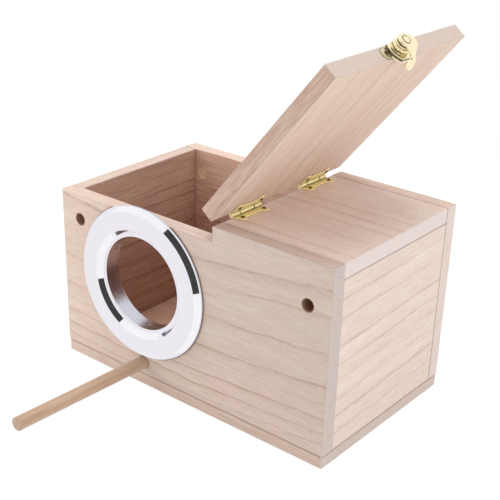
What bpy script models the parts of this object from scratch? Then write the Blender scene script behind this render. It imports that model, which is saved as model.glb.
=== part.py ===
"""Parakeet nest box: a glued wooden box with a hinged lid, an entrance ring and a perch.

The origin is at the centre of the base board's underside. X runs along the front to the right,
Y runs from the front to the back and Z is up. The lid is modelled closed and turned open about
the hinge pins, which is how the box stands at rest.
"""

import math

import bmesh
import bpy
from mathutils import Vector

mm = 0.001

# Box
box_length = 200 * mm
box_depth = 120 * mm
box_height = 120 * mm
board = 9 * mm
base_thickness = 8 * mm
roof_length = 80 * mm
lid_gap = 1.6 * mm
edge_ease = 0.3 * mm
base_edge_ease = 0.8 * mm
seam = 0.3 * mm
overrun = 2 * mm

# Holes for hanging the box from a cage or a wall
hanging_hole_radius = 3.75 * mm
hanging_hole_inset = 15 * mm
hanging_hole_drop = 16 * mm

# Entrance ring, which fills the height from just over the perch to just over the low rim
ring_inset = 19 * mm
ring_overlap = 5.5 * mm
ring_perch_gap = 1.5 * mm
ring_bevel = 2.1 * mm
ring_bevel_stand = 1 * mm
ring_face_width = 11.6 * mm
ring_lip_width = 4.9 * mm
ring_stand = 4.8 * mm
ring_recess_depth = 3.3 * mm
ring_recess_taper = 1.9 * mm
ring_lip_round = 0.4 * mm
sleeve_wall = 1.4 * mm
sleeve_setback = 0.4 * mm

# Screws that hold the ring's sleeve in the panel
ring_screw_count = 3
ring_screw_radius = 0.9 * mm
ring_screw_head_radius = 1.5 * mm
ring_screw_head_height = 0.5 * mm
ring_screw_length = 6 * mm
ring_screw_point = 1.2 * mm
ring_screw_depth_share = 0.5

# Perch
perch_radius = 4 * mm
perch_reach = 98.5 * mm
perch_rise_angle = math.radians(1.7)
perch_height = 16 * mm
perch_end_ease = 0.5 * mm

# Hinges
hinge_inset = 29 * mm
hinge_length = 25 * mm
hinge_axis_stand = 1.1 * mm
knuckle_radius = 1.25 * mm
hinge_pin_radius = 0.6 * mm
hinge_pin_clearance = 0.2 * mm
hinge_pin_end = 0.3 * mm
middle_knuckle_share = 0.48
leaf_thickness = 0.6 * mm
leaf_waist = 5 * mm
leaf_end_reach = 2.2 * mm
leaf_ear_radius = 2.8 * mm
leaf_ear_centre_share = 0.74
leaf_ear_reach = 5.7 * mm
leaf_tip_radius = 0.8 * mm
leaf_tip_reach = 8.4 * mm
leaf_tip_centre_share = 0.86
leaf_middle_radius = 3.6 * mm
leaf_middle_reach = 4.2 * mm
lid_rest_angle = math.radians(129)

# Nails of the hinges and of the latch
nail_radius = 0.55 * mm
nail_clearance = 0.25 * mm
nail_head_radius = 1.1 * mm
nail_head_height = 0.45 * mm
nail_crown_radius_share = 0.7
nail_crown_height_share = 0.8
nail_length = 6 * mm
nail_point = 1.2 * mm

# Latch and catch
latch_pivot_side = 3 * mm
latch_plate_width = 27.8 * mm
latch_plate_thickness = 0.6 * mm
latch_ear_radius = 3.4 * mm
latch_waist = 4.6 * mm
latch_plate_radius = 9.2 * mm
latch_plate_drop = 4.2 * mm
latch_plate_rise = 7.6 * mm
latch_block_inset = 0.5 * mm
latch_block_height = 1.5 * mm
latch_boss_radius = 4.7 * mm
latch_boss_height = 1.9 * mm
latch_boss_taper = 0.5 * mm
latch_neck_radius = 3.6 * mm
latch_neck_height = 1.7 * mm
rivet_radius = 1.3 * mm
rivet_clearance = 0.25 * mm
rivet_head_radius = 2.9 * mm
rivet_head_height = 0.9 * mm
rivet_crown_radius_share = 0.75
rivet_crown_height_share = 0.9
rivet_edge_height_share = 0.35
hook_thickness = 1.5 * mm
hook_eye_radius = 4.2 * mm
hook_cup_depth = 0.7 * mm
hook_cup_wall = 0.9 * mm
hook_reach = 20.6 * mm
hook_edge_steps = 6
hook_edge_shares = [(-0.65, 0.76), (-0.35, 0.64), (0.0, 0.425), (0.32, 0.24), (0.445, 0.02),
                    (0.3, -0.17), (0.0, -0.22), (-0.16, 0.0), (-0.13, 0.32), (-0.33, 0.39),
                    (-0.63, 0.445), (-0.68, 0.6)]
stud_distance = 12.9 * mm
stud_seat_angle = math.radians(40)
stud_slot_angle = math.radians(75)
stud_radius = 1.3 * mm
stud_clearance = 0.3 * mm
stud_head_radius = 2.4 * mm
stud_head_height = 0.8 * mm
catch_top_gap = 2 * mm

# Facets
bore_sides = 96
hole_sides = 24
small_sides = 16
nail_sides = 12
outline_steps = 40
slot_steps = 12

# Places that follow from the sizes
left_x = -box_length / 2
right_x = box_length / 2
front_y = -box_depth / 2
back_y = box_depth / 2
wall_bottom = base_thickness + seam
rim_height = box_height - board
hanging_hole_height = rim_height - hanging_hole_drop
roof_edge_x = right_x - roof_length
lid_end_x = roof_edge_x - lid_gap
hinge_axis_x = roof_edge_x - lid_gap / 2
hinge_axis_z = box_height + hinge_axis_stand
lid_bottom = rim_height + seam
lid_middle_z = (lid_bottom + box_height) / 2
ring_bottom = perch_height + perch_radius + ring_perch_gap
ring_radius = (rim_height + ring_overlap - ring_bottom) / 2
ring_face_inner_radius = ring_radius - ring_bevel - ring_face_width
entrance_bore_radius = ring_face_inner_radius - ring_lip_width
entrance_height = ring_bottom + ring_radius
entrance_x = left_x + ring_inset + ring_radius
sleeve_radius = entrance_bore_radius + sleeve_wall
panel_bore_radius = sleeve_radius + seam
leaf_z = box_height + seam + leaf_thickness / 2
plate_back_x = left_x - seam
plate_front_x = plate_back_x - latch_plate_thickness
block_front_x = plate_front_x - latch_block_height
boss_front_x = block_front_x - latch_boss_height
neck_front_x = boss_front_x - latch_neck_height
hook_back_x = neck_front_x - seam
hook_front_x = hook_back_x - hook_thickness
latch_pivot = (plate_front_x, -latch_pivot_side, lid_middle_z)
stud_z = lid_middle_z - stud_distance
catch_z = lid_bottom - seam - catch_top_gap - latch_plate_drop
cup_radius = hook_eye_radius - hook_cup_wall


def clear_scene():
    for obj in list(bpy.data.objects):
        bpy.data.objects.remove(obj, do_unlink=True)


def make_collection(name):
    collection = bpy.data.collections.new(name)
    bpy.context.scene.collection.children.link(collection)
    return collection


clear_scene()
parts = make_collection("parakeet_nest_box")
cutters = make_collection("cutters")


def make_material(name, colour, roughness, metallic):
    material = bpy.data.materials.new(name)
    material.use_nodes = True
    shader = material.node_tree.nodes["Principled BSDF"]
    shader.inputs["Base Color"].default_value = (*colour, 1)
    shader.inputs["Roughness"].default_value = roughness
    shader.inputs["Metallic"].default_value = metallic
    return material


def paulownia(name):
    return make_material(name, (0.70, 0.56, 0.46), 0.65, 0)


def aluminium(name):
    return make_material(name, (0.80, 0.80, 0.84), 0.3, 1)


def brass(name):
    return make_material(name, (0.90, 0.70, 0.28), 0.22, 1)


class Body:
    """A rigid group: its pieces are placed as in the closed box and ride on an empty."""

    def __init__(self, name, origin, parent=None):
        self.origin = Vector(origin)
        self.empty = bpy.data.objects.new(name, None)
        parts.objects.link(self.empty)
        self.empty.location = self.origin
        if parent:
            self.empty.parent = parent.empty
            self.empty.location = self.origin - parent.origin

    def carry(self, obj):
        obj.parent = self.empty
        obj.location = Vector(obj.location) - self.origin
        return obj


box = Body("box", (0, 0, 0))
lid = Body("lid", (hinge_axis_x, 0, hinge_axis_z), box)
hook_body = Body("latch_swing", latch_pivot, lid)


def link_mesh(name, bm, collection):
    mesh = bpy.data.meshes.new(name)
    bm.to_mesh(mesh)
    bm.free()
    obj = bpy.data.objects.new(name, mesh)
    collection.objects.link(obj)
    return obj


def finish(obj, material, body):
    obj.data.materials.append(material)
    obj.data.shade_smooth()
    obj.data.set_sharp_from_angle(angle=math.radians(30))
    return body.carry(obj)


def ease_edges(obj, width):
    bevel = obj.modifiers.new("eased edges", "BEVEL")
    bevel.width = width
    bevel.segments = 1
    bevel.limit_method = "ANGLE"
    bevel.angle_limit = math.radians(60)


def combine(obj, other, operation):
    modifier = obj.modifiers.new(other.name, "BOOLEAN")
    modifier.operation = operation
    modifier.solver = "EXACT"
    modifier.object = other


def hide_cutter(obj, body):
    obj.hide_render = True
    obj.display_type = "WIRE"
    return body.carry(obj)


def box_between(name, low, high):
    low, high = Vector(low), Vector(high)
    bm = bmesh.new()
    bmesh.ops.create_cube(bm, size=1)
    bmesh.ops.scale(bm, vec=high - low, verts=bm.verts)
    obj = link_mesh(name, bm, parts)
    obj.location = (low + high) / 2
    return obj


def cylinder_cutter(name, radius, start, end, sides, body):
    start, end = Vector(start), Vector(end)
    bm = bmesh.new()
    bmesh.ops.create_cone(bm, cap_ends=True, segments=sides, radius1=radius, radius2=radius,
                          depth=(end - start).length)
    obj = link_mesh(name, bm, cutters)
    obj.rotation_euler = (end - start).to_track_quat("Z", "Y").to_euler()
    obj.location = (start + end) / 2
    return hide_cutter(obj, body)


def circle(centre, radius, sides):
    turn = 2 * math.pi / sides
    return [(centre[0] + radius * math.cos(i * turn), centre[1] + radius * math.sin(i * turn))
            for i in range(sides)]


def outline_solid(name, outlines, thickness, collection=parts):
    """Extrude flat outlines, the first being the edge and the others holes in it."""
    curve = bpy.data.curves.new(name, "CURVE")
    curve.dimensions = "2D"
    curve.fill_mode = "BOTH"
    curve.extrude = thickness / 2
    for outline in outlines:
        spline = curve.splines.new("POLY")
        spline.points.add(len(outline) - 1)
        for point, (x, y) in zip(spline.points, outline):
            point.co = (x, y, 0, 1)
        spline.use_cyclic_u = True
    guide = bpy.data.objects.new(name + "_outline", curve)
    collection.objects.link(guide)
    evaluated = guide.evaluated_get(bpy.context.evaluated_depsgraph_get())
    mesh = bpy.data.meshes.new_from_object(evaluated)
    bm = bmesh.new()
    bm.from_mesh(mesh)
    bmesh.ops.remove_doubles(bm, verts=bm.verts, dist=0.01 * mm)
    bmesh.ops.recalc_face_normals(bm, faces=bm.faces)
    bpy.data.objects.remove(guide, do_unlink=True)
    bpy.data.meshes.remove(mesh)
    return link_mesh(name, bm, collection)


def turned_solid(name, profile, sides, place, direction, collection=parts):
    """Turn a profile of (radius, height) about Z, and stand it on a place facing a direction."""
    bm = bmesh.new()
    verts = [bm.verts.new((radius, 0, height)) for radius, height in profile]
    edges = [bm.edges.new(pair) for pair in zip(verts, verts[1:])]
    if profile[0][0] and profile[-1][0]:
        edges.append(bm.edges.new((verts[-1], verts[0])))
    bmesh.ops.spin(bm, geom=verts + edges, axis=(0, 0, 1), cent=(0, 0, 0),
                   angle=2 * math.pi, steps=sides, use_merge=True)
    bmesh.ops.remove_doubles(bm, verts=bm.verts, dist=0.001 * mm)
    bmesh.ops.recalc_face_normals(bm, faces=bm.faces)
    obj = link_mesh(name, bm, collection)
    obj.location = place
    obj.rotation_euler = Vector(direction).to_track_quat("Z", "Y").to_euler()
    return obj


def make_base():
    obj = box_between("base_board", (left_x, front_y, 0), (right_x, back_y, base_thickness))
    ease_edges(obj, base_edge_ease)
    finish(obj, paulownia("base_board"), box)


def panel_edge():
    return [(left_x, wall_bottom), (right_x, wall_bottom), (right_x, box_height),
            (roof_edge_x, box_height), (roof_edge_x, rim_height), (left_x, rim_height)]


def hanging_holes():
    inset_x = right_x - hanging_hole_inset
    return [circle((side * inset_x, hanging_hole_height), hanging_hole_radius, hole_sides)
            for side in (-1, 1)]


def stand_panel(obj, middle_y):
    obj.rotation_euler = (math.radians(90), 0, 0)
    obj.location = (0, middle_y, 0)


def ring_screw_directions():
    turn = 2 * math.pi / ring_screw_count
    down = -math.pi / 2
    return [Vector((math.cos(down + i * turn), 0, math.sin(down + i * turn)))
            for i in range(ring_screw_count)]


def ring_screw_middle():
    return Vector((entrance_x, front_y + board * ring_screw_depth_share, entrance_height))


def perch_place(depth):
    """A point on the perch's axis, which falls towards the back, at a depth behind the front."""
    return (entrance_x, front_y + depth, perch_height - depth * math.tan(perch_rise_angle))


def make_front_panel():
    entrance = circle((entrance_x, entrance_height), panel_bore_radius, bore_sides)
    outlines = [panel_edge(), entrance] + hanging_holes()
    obj = outline_solid("front_panel", outlines, board)
    stand_panel(obj, front_y + board / 2)
    perch_hole = cylinder_cutter("perch_hole", perch_radius + seam, perch_place(-overrun),
                                 perch_place(board + overrun), hole_sides, box)
    combine(obj, perch_hole, "DIFFERENCE")
    for i, direction in enumerate(ring_screw_directions()):
        start = ring_screw_middle() + direction * (panel_bore_radius - overrun)
        end = ring_screw_middle() + direction * (entrance_bore_radius + ring_screw_length + seam)
        pilot = cylinder_cutter(f"ring_screw_pilot_{i}", ring_screw_radius + nail_clearance,
                                start, end, nail_sides, box)
        combine(obj, pilot, "DIFFERENCE")
    finish(obj, paulownia("front_panel"), box)


def make_back_panel():
    obj = outline_solid("back_panel", [panel_edge()] + hanging_holes(), board)
    stand_panel(obj, back_y - board / 2)
    finish(obj, paulownia("back_panel"), box)


def side_panel(name, low_x, top):
    inner_front = front_y + board + seam
    inner_back = back_y - board - seam
    obj = box_between(name, (low_x, inner_front, wall_bottom), (low_x + board, inner_back, top))
    ease_edges(obj, edge_ease)
    return obj


def pilot_hole(name, surface, direction, body):
    direction = Vector(direction)
    start = Vector(surface) + direction * overrun
    end = Vector(surface) - direction * (nail_length + nail_point + seam)
    return cylinder_cutter(name, nail_radius + nail_clearance, start, end, nail_sides, body)


def make_left_side():
    obj = side_panel("left_side_panel", left_x, rim_height)
    for i, place in enumerate(plate_nail_places(catch_z)):
        combine(obj, pilot_hole(f"catch_nail_pilot_{i}", place, (-1, 0, 0), box), "DIFFERENCE")
    finish(obj, paulownia("left_side_panel"), box)


def make_right_side():
    obj = side_panel("right_side_panel", right_x - board, rim_height - seam)
    finish(obj, paulownia("right_side_panel"), box)


def hinge_places():
    return {"front": front_y + hinge_inset, "rear": back_y - hinge_inset}


def leaf_nail_places(hinge_y, side):
    """Points on the wood's top under the two ears of a leaf on one side of the pin."""
    ear = hinge_length / 2 * leaf_ear_centre_share
    x = hinge_axis_x + side * leaf_ear_reach
    return [Vector((x, hinge_y + along * ear, box_height)) for along in (-1, 1)]


def cut_leaf_pilots(obj, side, body):
    for name, hinge_y in hinge_places().items():
        for i, place in enumerate(leaf_nail_places(hinge_y, side)):
            pilot = pilot_hole(f"{obj.name}_{name}_pilot_{i}", place, (0, 0, 1), body)
            combine(obj, pilot, "DIFFERENCE")


def make_roof():
    inner_front = front_y + board + seam
    inner_back = back_y - board - seam
    obj = box_between("roof_board", (roof_edge_x, inner_front, rim_height),
                      (right_x, inner_back, box_height))
    ease_edges(obj, edge_ease)
    cut_leaf_pilots(obj, 1, box)
    finish(obj, paulownia("roof_board"), box)


def make_lid():
    obj = box_between("lid_board", (left_x, front_y, lid_bottom), (lid_end_x, back_y, box_height))
    ease_edges(obj, edge_ease)
    cut_leaf_pilots(obj, -1, lid)
    for i, place in enumerate(plate_nail_places(lid_middle_z)):
        combine(obj, pilot_hole(f"latch_nail_pilot_{i}", place, (-1, 0, 0), lid), "DIFFERENCE")
    finish(obj, paulownia("lid_board"), lid)


def ring_profile():
    """The ring's section as radius and height, the height running out from the front panel."""
    face_outer = ring_radius - ring_bevel
    recess_radius = ring_face_inner_radius - ring_recess_taper
    recess_floor = ring_stand - ring_recess_depth
    sleeve_end = -(board - sleeve_setback)
    return [(ring_radius, ring_bevel_stand), (ring_radius, seam), (sleeve_radius, seam),
            (sleeve_radius, sleeve_end), (entrance_bore_radius, sleeve_end),
            (entrance_bore_radius, recess_floor - ring_lip_round),
            (entrance_bore_radius + ring_lip_round, recess_floor), (recess_radius, recess_floor),
            (ring_face_inner_radius, ring_stand), (face_outer, ring_stand)]


def make_ring():
    obj = turned_solid("entrance_ring", ring_profile(), bore_sides,
                       (entrance_x, front_y, entrance_height), (0, -1, 0))
    for i, direction in enumerate(ring_screw_directions()):
        start = ring_screw_middle() + direction * (entrance_bore_radius - overrun)
        end = ring_screw_middle() + direction * (sleeve_radius + overrun)
        hole = cylinder_cutter(f"ring_screw_hole_{i}", ring_screw_radius + nail_clearance,
                               start, end, nail_sides, box)
        combine(obj, hole, "DIFFERENCE")
        seat = start + direction * (overrun + ring_screw_head_height + seam)
        recess = cylinder_cutter(f"ring_screw_recess_{i}", ring_screw_head_radius + nail_clearance,
                                 start, seat, nail_sides, box)
        combine(obj, recess, "DIFFERENCE")
    finish(obj, aluminium("entrance_ring"), box)


def make_ring_screws():
    profile = [(0, 0), (ring_screw_head_radius, 0),
               (ring_screw_head_radius, -ring_screw_head_height),
               (ring_screw_radius, -ring_screw_head_height),
               (ring_screw_radius, -ring_screw_length + ring_screw_point), (0, -ring_screw_length)]
    for i, direction in enumerate(ring_screw_directions()):
        name = f"entrance_ring_screw_{i + 1}"
        head = ring_screw_middle() + direction * entrance_bore_radius
        obj = turned_solid(name, profile, nail_sides, head, -direction)
        finish(obj, make_material(name, (0.55, 0.55, 0.57), 0.35, 1), box)


def make_perch():
    depth = perch_reach + board
    bm = bmesh.new()
    bmesh.ops.create_cone(bm, cap_ends=True, segments=hole_sides, radius1=perch_radius,
                          radius2=perch_radius, depth=depth)
    obj = link_mesh("perch_dowel", bm, parts)
    obj.rotation_euler = (math.radians(90) - perch_rise_angle, 0, 0)
    obj.location = perch_place(board - depth / 2 * math.cos(perch_rise_angle))
    ease_edges(obj, perch_end_ease)
    finish(obj, make_material("perch_dowel", (0.55, 0.36, 0.24), 0.6, 0), box)


def lobe(along, centre, reach, radius):
    """How far a round lobe reaches out at a place along an edge, or nothing outside it."""
    inside = radius ** 2 - (along - centre) ** 2
    return reach + math.sqrt(inside) if inside > 0 else 0


def leaf_reach(along):
    half = hinge_length / 2
    ear = half * leaf_ear_centre_share
    tip = half * leaf_tip_centre_share
    waist = leaf_waist if abs(along) < ear else leaf_end_reach
    return max(waist,
               lobe(abs(along), ear, leaf_ear_reach, leaf_ear_radius),
               lobe(abs(along), tip, leaf_tip_reach - leaf_tip_radius, leaf_tip_radius),
               lobe(along, 0, leaf_middle_reach, leaf_middle_radius))


def knuckle_spans():
    """The barrel's three stretches along the pin: outer, middle, outer."""
    half = hinge_length / 2
    middle = half * middle_knuckle_share
    return [(-half, -middle - seam / 2), (-middle + seam / 2, middle - seam / 2),
            (middle + seam / 2, half)]


def leaf_outline(own_spans):
    """A leaf's edge as distance from the pin and place along it, notched round foreign knuckles."""
    half = hinge_length / 2
    notch = knuckle_radius + seam
    inside_knuckle = (hinge_pin_radius + hinge_pin_clearance + knuckle_radius) / 2
    step = hinge_length / outline_steps
    far_edge = [(leaf_reach(-half + i * step), -half + i * step) for i in range(outline_steps + 1)]
    near_edge = []
    inside = [span in own_spans for span in knuckle_spans()]
    for own, (start, end) in reversed(list(zip(inside, knuckle_spans()))):
        if own:
            near_edge += [(notch, end), (inside_knuckle, end), (inside_knuckle, start),
                          (notch, start)]
    near_edge = [point for point in near_edge if point not in ((notch, half), (notch, -half))]
    if half not in [end for start, end in own_spans]:
        near_edge = [(notch, half)] + near_edge + [(notch, -half)]
    return far_edge + near_edge


def make_leaf(name, hinge_y, side, own_spans, body):
    mirrored = [(side * out, along) for out, along in leaf_outline(own_spans)]
    ear = hinge_length / 2 * leaf_ear_centre_share
    holes = [circle((side * leaf_ear_reach, along * ear), nail_radius + nail_clearance, nail_sides)
             for along in (-1, 1)]
    obj = outline_solid(name, [mirrored] + holes, leaf_thickness)
    obj.location = (hinge_axis_x, hinge_y, leaf_z)
    bore = hinge_pin_radius + hinge_pin_clearance
    for i, (start, end) in enumerate(own_spans):
        profile = [(knuckle_radius, end), (knuckle_radius, start), (bore, start), (bore, end)]
        knuckle = turned_solid(f"{name}_knuckle_{i}", profile, hole_sides,
                               (hinge_axis_x, hinge_y, hinge_axis_z), (0, 1, 0), cutters)
        hide_cutter(knuckle, body)
        combine(obj, knuckle, "UNION")
    finish(obj, brass(name), body)


def make_hinge(name, hinge_y):
    first, middle, last = knuckle_spans()
    make_leaf(f"{name}_hinge_roof_leaf", hinge_y, 1, [first, last], box)
    make_leaf(f"{name}_hinge_lid_leaf", hinge_y, -1, [middle], lid)
    half = hinge_length / 2 + hinge_pin_end
    profile = [(0, half), (hinge_pin_radius, half), (hinge_pin_radius, -half), (0, -half)]
    pin = turned_solid(f"{name}_hinge_pin", profile, small_sides,
                       (hinge_axis_x, hinge_y, hinge_axis_z), (0, 1, 0))
    finish(pin, brass(f"{name}_hinge_pin"), box)
    make_nails(f"{name}_hinge_roof_nail", leaf_nail_places(hinge_y, 1), (0, 0, 1),
               seam + leaf_thickness, box)
    make_nails(f"{name}_hinge_lid_nail", leaf_nail_places(hinge_y, -1), (0, 0, 1),
               seam + leaf_thickness, lid)


def make_nails(name, places, direction, stack, body):
    """Round-headed nails whose heads seat on a plate that stands a stack above the wood."""
    head = stack + seam
    crown = (nail_head_radius * nail_crown_radius_share,
             head + nail_head_height * nail_crown_height_share)
    profile = [(0, head + nail_head_height), crown, (nail_head_radius, head), (nail_radius, head),
               (nail_radius, -nail_length), (0, -nail_length - nail_point)]
    for i, place in enumerate(places):
        obj = turned_solid(f"{name}_{i + 1}", profile, nail_sides, place, direction)
        finish(obj, brass(obj.name), body)


def plate_edge_height(along, middle):
    """How far a plate's edge stands from its nails' line: a waist, an ear or the middle."""
    ear = latch_plate_width / 2 - latch_ear_radius
    waist = latch_waist / 2 if abs(along) < ear else 0
    round_middle = min(middle, lobe(along, 0, 0, latch_plate_radius))
    return max(waist, lobe(abs(along), ear, 0, latch_ear_radius), round_middle)


def corners_only(points):
    """Leave out the points in the middle of a level stretch."""
    return [point for i, point in enumerate(points)
            if not points[i - 1][1] == point[1] == points[(i + 1) % len(points)][1]]


def plate_outline():
    """A plate with an ear at each end and a middle that stands further up than down."""
    half = latch_plate_width / 2
    places = [-half * math.cos(math.pi * i / outline_steps) for i in range(outline_steps + 1)]
    upper = [(place, plate_edge_height(place, latch_plate_rise)) for place in places]
    lower = [(place, -plate_edge_height(place, latch_plate_drop))
             for place in reversed(places[1:-1])]
    return corners_only(upper + lower)


def block_outline():
    """The raised middle of a plate: a disc that is cut off level above and below."""
    lowest = latch_block_inset - latch_plate_drop
    highest = latch_plate_rise - latch_block_inset
    disc = circle((0, 0), latch_plate_radius - latch_block_inset, bore_sides)
    return corners_only([(along, max(lowest, min(highest, up))) for along, up in disc])


def plate_nail_places(plate_z):
    """Points on the wood behind a plate's two ears."""
    ear = latch_plate_width / 2 - latch_ear_radius
    return [Vector((left_x, latch_pivot[1] + along * ear, plate_z)) for along in (-1, 1)]


def stand_on_end(obj, place):
    obj.rotation_euler = (math.radians(90), 0, math.radians(-90))
    obj.location = place


def make_plate(name, plate_z, body, turned_down):
    """A nailed plate and its raised middle, as two flat pieces that are joined."""
    ear = latch_plate_width / 2 - latch_ear_radius
    flip = -1 if turned_down else 1
    holes = [circle((along * ear, 0), nail_radius + nail_clearance, nail_sides) for along in (-1, 1)]
    edge = [(along, flip * up) for along, up in plate_outline()]
    raised = [(along, flip * up) for along, up in block_outline()]
    obj = outline_solid(name, [edge] + holes, latch_plate_thickness)
    stand_on_end(obj, ((plate_back_x + plate_front_x) / 2, latch_pivot[1], plate_z))
    inner_x = (plate_back_x + plate_front_x) / 2
    block = outline_solid(name + "_block", [raised], inner_x - block_front_x, cutters)
    stand_on_end(block, ((inner_x + block_front_x) / 2, latch_pivot[1], plate_z))
    hide_cutter(block, body)
    combine(obj, block, "UNION")
    return obj


def make_latch_plate():
    obj = make_plate("latch_plate", lid_middle_z, lid, False)
    boss_foot = latch_block_height / 2
    boss_top = plate_front_x - boss_front_x
    neck_top = plate_front_x - neck_front_x
    profile = [(0, neck_top), (latch_neck_radius, neck_top), (latch_neck_radius, boss_top),
               (latch_boss_radius - latch_boss_taper, boss_top),
               (latch_boss_radius, boss_top - latch_boss_taper), (latch_boss_radius, boss_foot),
               (0, boss_foot)]
    boss = turned_solid("latch_boss", profile, hole_sides, latch_pivot, (-1, 0, 0), cutters)
    hide_cutter(boss, lid)
    combine(obj, boss, "UNION")
    shaft = cylinder_cutter("latch_rivet_hole", rivet_radius + rivet_clearance,
                            (left_x + overrun, *latch_pivot[1:]), (hook_front_x, *latch_pivot[1:]),
                            small_sides, lid)
    combine(obj, shaft, "DIFFERENCE")
    finish(obj, brass("latch_plate"), lid)


def crowned_head(radius, height, underside):
    """The profile of a crowned head from its middle to its underside's edge."""
    return [(0, underside + height),
            (radius * rivet_crown_radius_share, underside + height * rivet_crown_height_share),
            (radius, underside + height * rivet_edge_height_share), (radius, underside)]


def make_latch_rivet():
    """The rivet starts at the plate's back and its head sits in the cup of the hook's eye."""
    cup_floor_x = hook_front_x + hook_cup_depth
    length = plate_back_x - cup_floor_x + seam
    profile = crowned_head(rivet_head_radius, rivet_head_height, length)
    profile += [(rivet_radius, length), (rivet_radius, 0), (0, 0)]
    obj = turned_solid("latch_rivet", profile, hole_sides, (plate_back_x, *latch_pivot[1:]),
                       (-1, 0, 0))
    finish(obj, brass("latch_rivet"), lid)


def hook_edge():
    """The hook's edge, a smooth closed curve through points given as shares of its reach.

    Between two points the curve is a cubic whose slopes follow the points before and after.
    """
    points = [Vector(pair) * hook_reach for pair in hook_edge_shares]
    count = len(points)
    edge = []
    for i in range(count):
        before, start, end, after = (points[(i + k) % count] for k in (-1, 0, 1, 2))
        for step in range(hook_edge_steps):
            t = step / hook_edge_steps
            bend = (2 * before - 5 * start + 4 * end - after) * t ** 2
            twist = (3 * start - before - 3 * end + after) * t ** 3
            edge.append(start + ((end - before) * t + bend + twist) / 2)
    return [(point.x, -point.y) for point in edge]


def below_pivot(radius, angle):
    """A point round the pivot, the angle being from straight down towards the hook's open side."""
    return (-radius * math.sin(angle), -radius * math.cos(angle))


def stud_slot():
    """The slot that the stud slides into: a band round the pivot with a round end at the seat."""
    half_width = stud_radius + stud_clearance
    band = [stud_seat_angle + (stud_slot_angle - stud_seat_angle) * i / slot_steps
            for i in range(slot_steps + 1)]
    outside = [below_pivot(stud_distance + half_width, angle) for angle in band]
    inside = [below_pivot(stud_distance - half_width, angle) for angle in reversed(band)]
    seat_x, seat_y = below_pivot(stud_distance, stud_seat_angle)
    seat = []
    for i in range(1, small_sides):
        out_x, out_y = below_pivot(half_width, stud_seat_angle - math.pi + math.pi * i / small_sides)
        seat.append((seat_x + out_x, seat_y + out_y))
    return outside + inside + seat


def make_hook():
    middle = ((hook_back_x + hook_front_x) / 2, *latch_pivot[1:])
    obj = outline_solid("latch_hook", [hook_edge()], hook_thickness)
    stand_on_end(obj, middle)
    eye = cylinder_cutter("latch_hook_eye", hook_eye_radius, (hook_back_x, *latch_pivot[1:]),
                          (hook_front_x, *latch_pivot[1:]), 2 * hole_sides, hook_body)
    combine(obj, eye, "UNION")
    slot = outline_solid("latch_hook_slot", [stud_slot()], hook_thickness + overrun, cutters)
    stand_on_end(slot, middle)
    hide_cutter(slot, hook_body)
    combine(obj, slot, "DIFFERENCE")
    bore = cylinder_cutter("latch_hook_bore", rivet_radius + rivet_clearance,
                           (hook_back_x + overrun, *latch_pivot[1:]),
                           (hook_front_x - overrun, *latch_pivot[1:]), small_sides, hook_body)
    combine(obj, bore, "DIFFERENCE")
    cup = cylinder_cutter("latch_hook_cup", cup_radius,
                          (hook_front_x + hook_cup_depth, *latch_pivot[1:]),
                          (hook_front_x - overrun, *latch_pivot[1:]), hole_sides, hook_body)
    combine(obj, cup, "DIFFERENCE")
    finish(obj, brass("latch_hook"), hook_body)


def make_catch():
    obj = make_plate("catch_plate", catch_z, box, True)
    hole = cylinder_cutter("catch_stud_hole", stud_radius + rivet_clearance,
                           (left_x + overrun, latch_pivot[1], stud_z),
                           (hook_front_x, latch_pivot[1], stud_z), small_sides, box)
    combine(obj, hole, "DIFFERENCE")
    finish(obj, brass("catch_plate"), box)
    neck = plate_back_x - hook_front_x + seam
    profile = crowned_head(stud_head_radius, stud_head_height, neck)
    profile += [(stud_radius, neck), (stud_radius, 0), (0, 0)]
    stud = turned_solid("catch_stud", profile, hole_sides, (plate_back_x, latch_pivot[1], stud_z),
                        (-1, 0, 0))
    finish(stud, brass("catch_stud"), box)


make_base()
make_front_panel()
make_back_panel()
make_left_side()
make_right_side()
make_roof()
make_lid()
make_ring()
make_ring_screws()
make_perch()
for hinge_name, hinge_place in hinge_places().items():
    make_hinge(hinge_name, hinge_place)
make_latch_plate()
make_latch_rivet()
make_hook()
make_nails("latch_nail", plate_nail_places(lid_middle_z), (-1, 0, 0),
           seam + latch_plate_thickness, lid)
make_catch()
make_nails("catch_nail", plate_nail_places(catch_z), (-1, 0, 0),
           seam + latch_plate_thickness, box)
lid.empty.rotation_euler = (0, lid_rest_angle, 0)
hook_body.empty.rotation_euler = (math.radians(180), 0, 0)
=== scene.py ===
"""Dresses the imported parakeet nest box: grained paulownia boards, a turned aluminium
entrance ring, a dowel perch, stamped brass hinges and a brass horn hook latch."""

import math

import bmesh
import bpy
import numpy as np
from bpy.props import FloatProperty, FloatVectorProperty, IntProperty, PointerProperty
from bpy.types import Operator, Panel, PropertyGroup
from mathutils import Matrix, Vector


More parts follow.
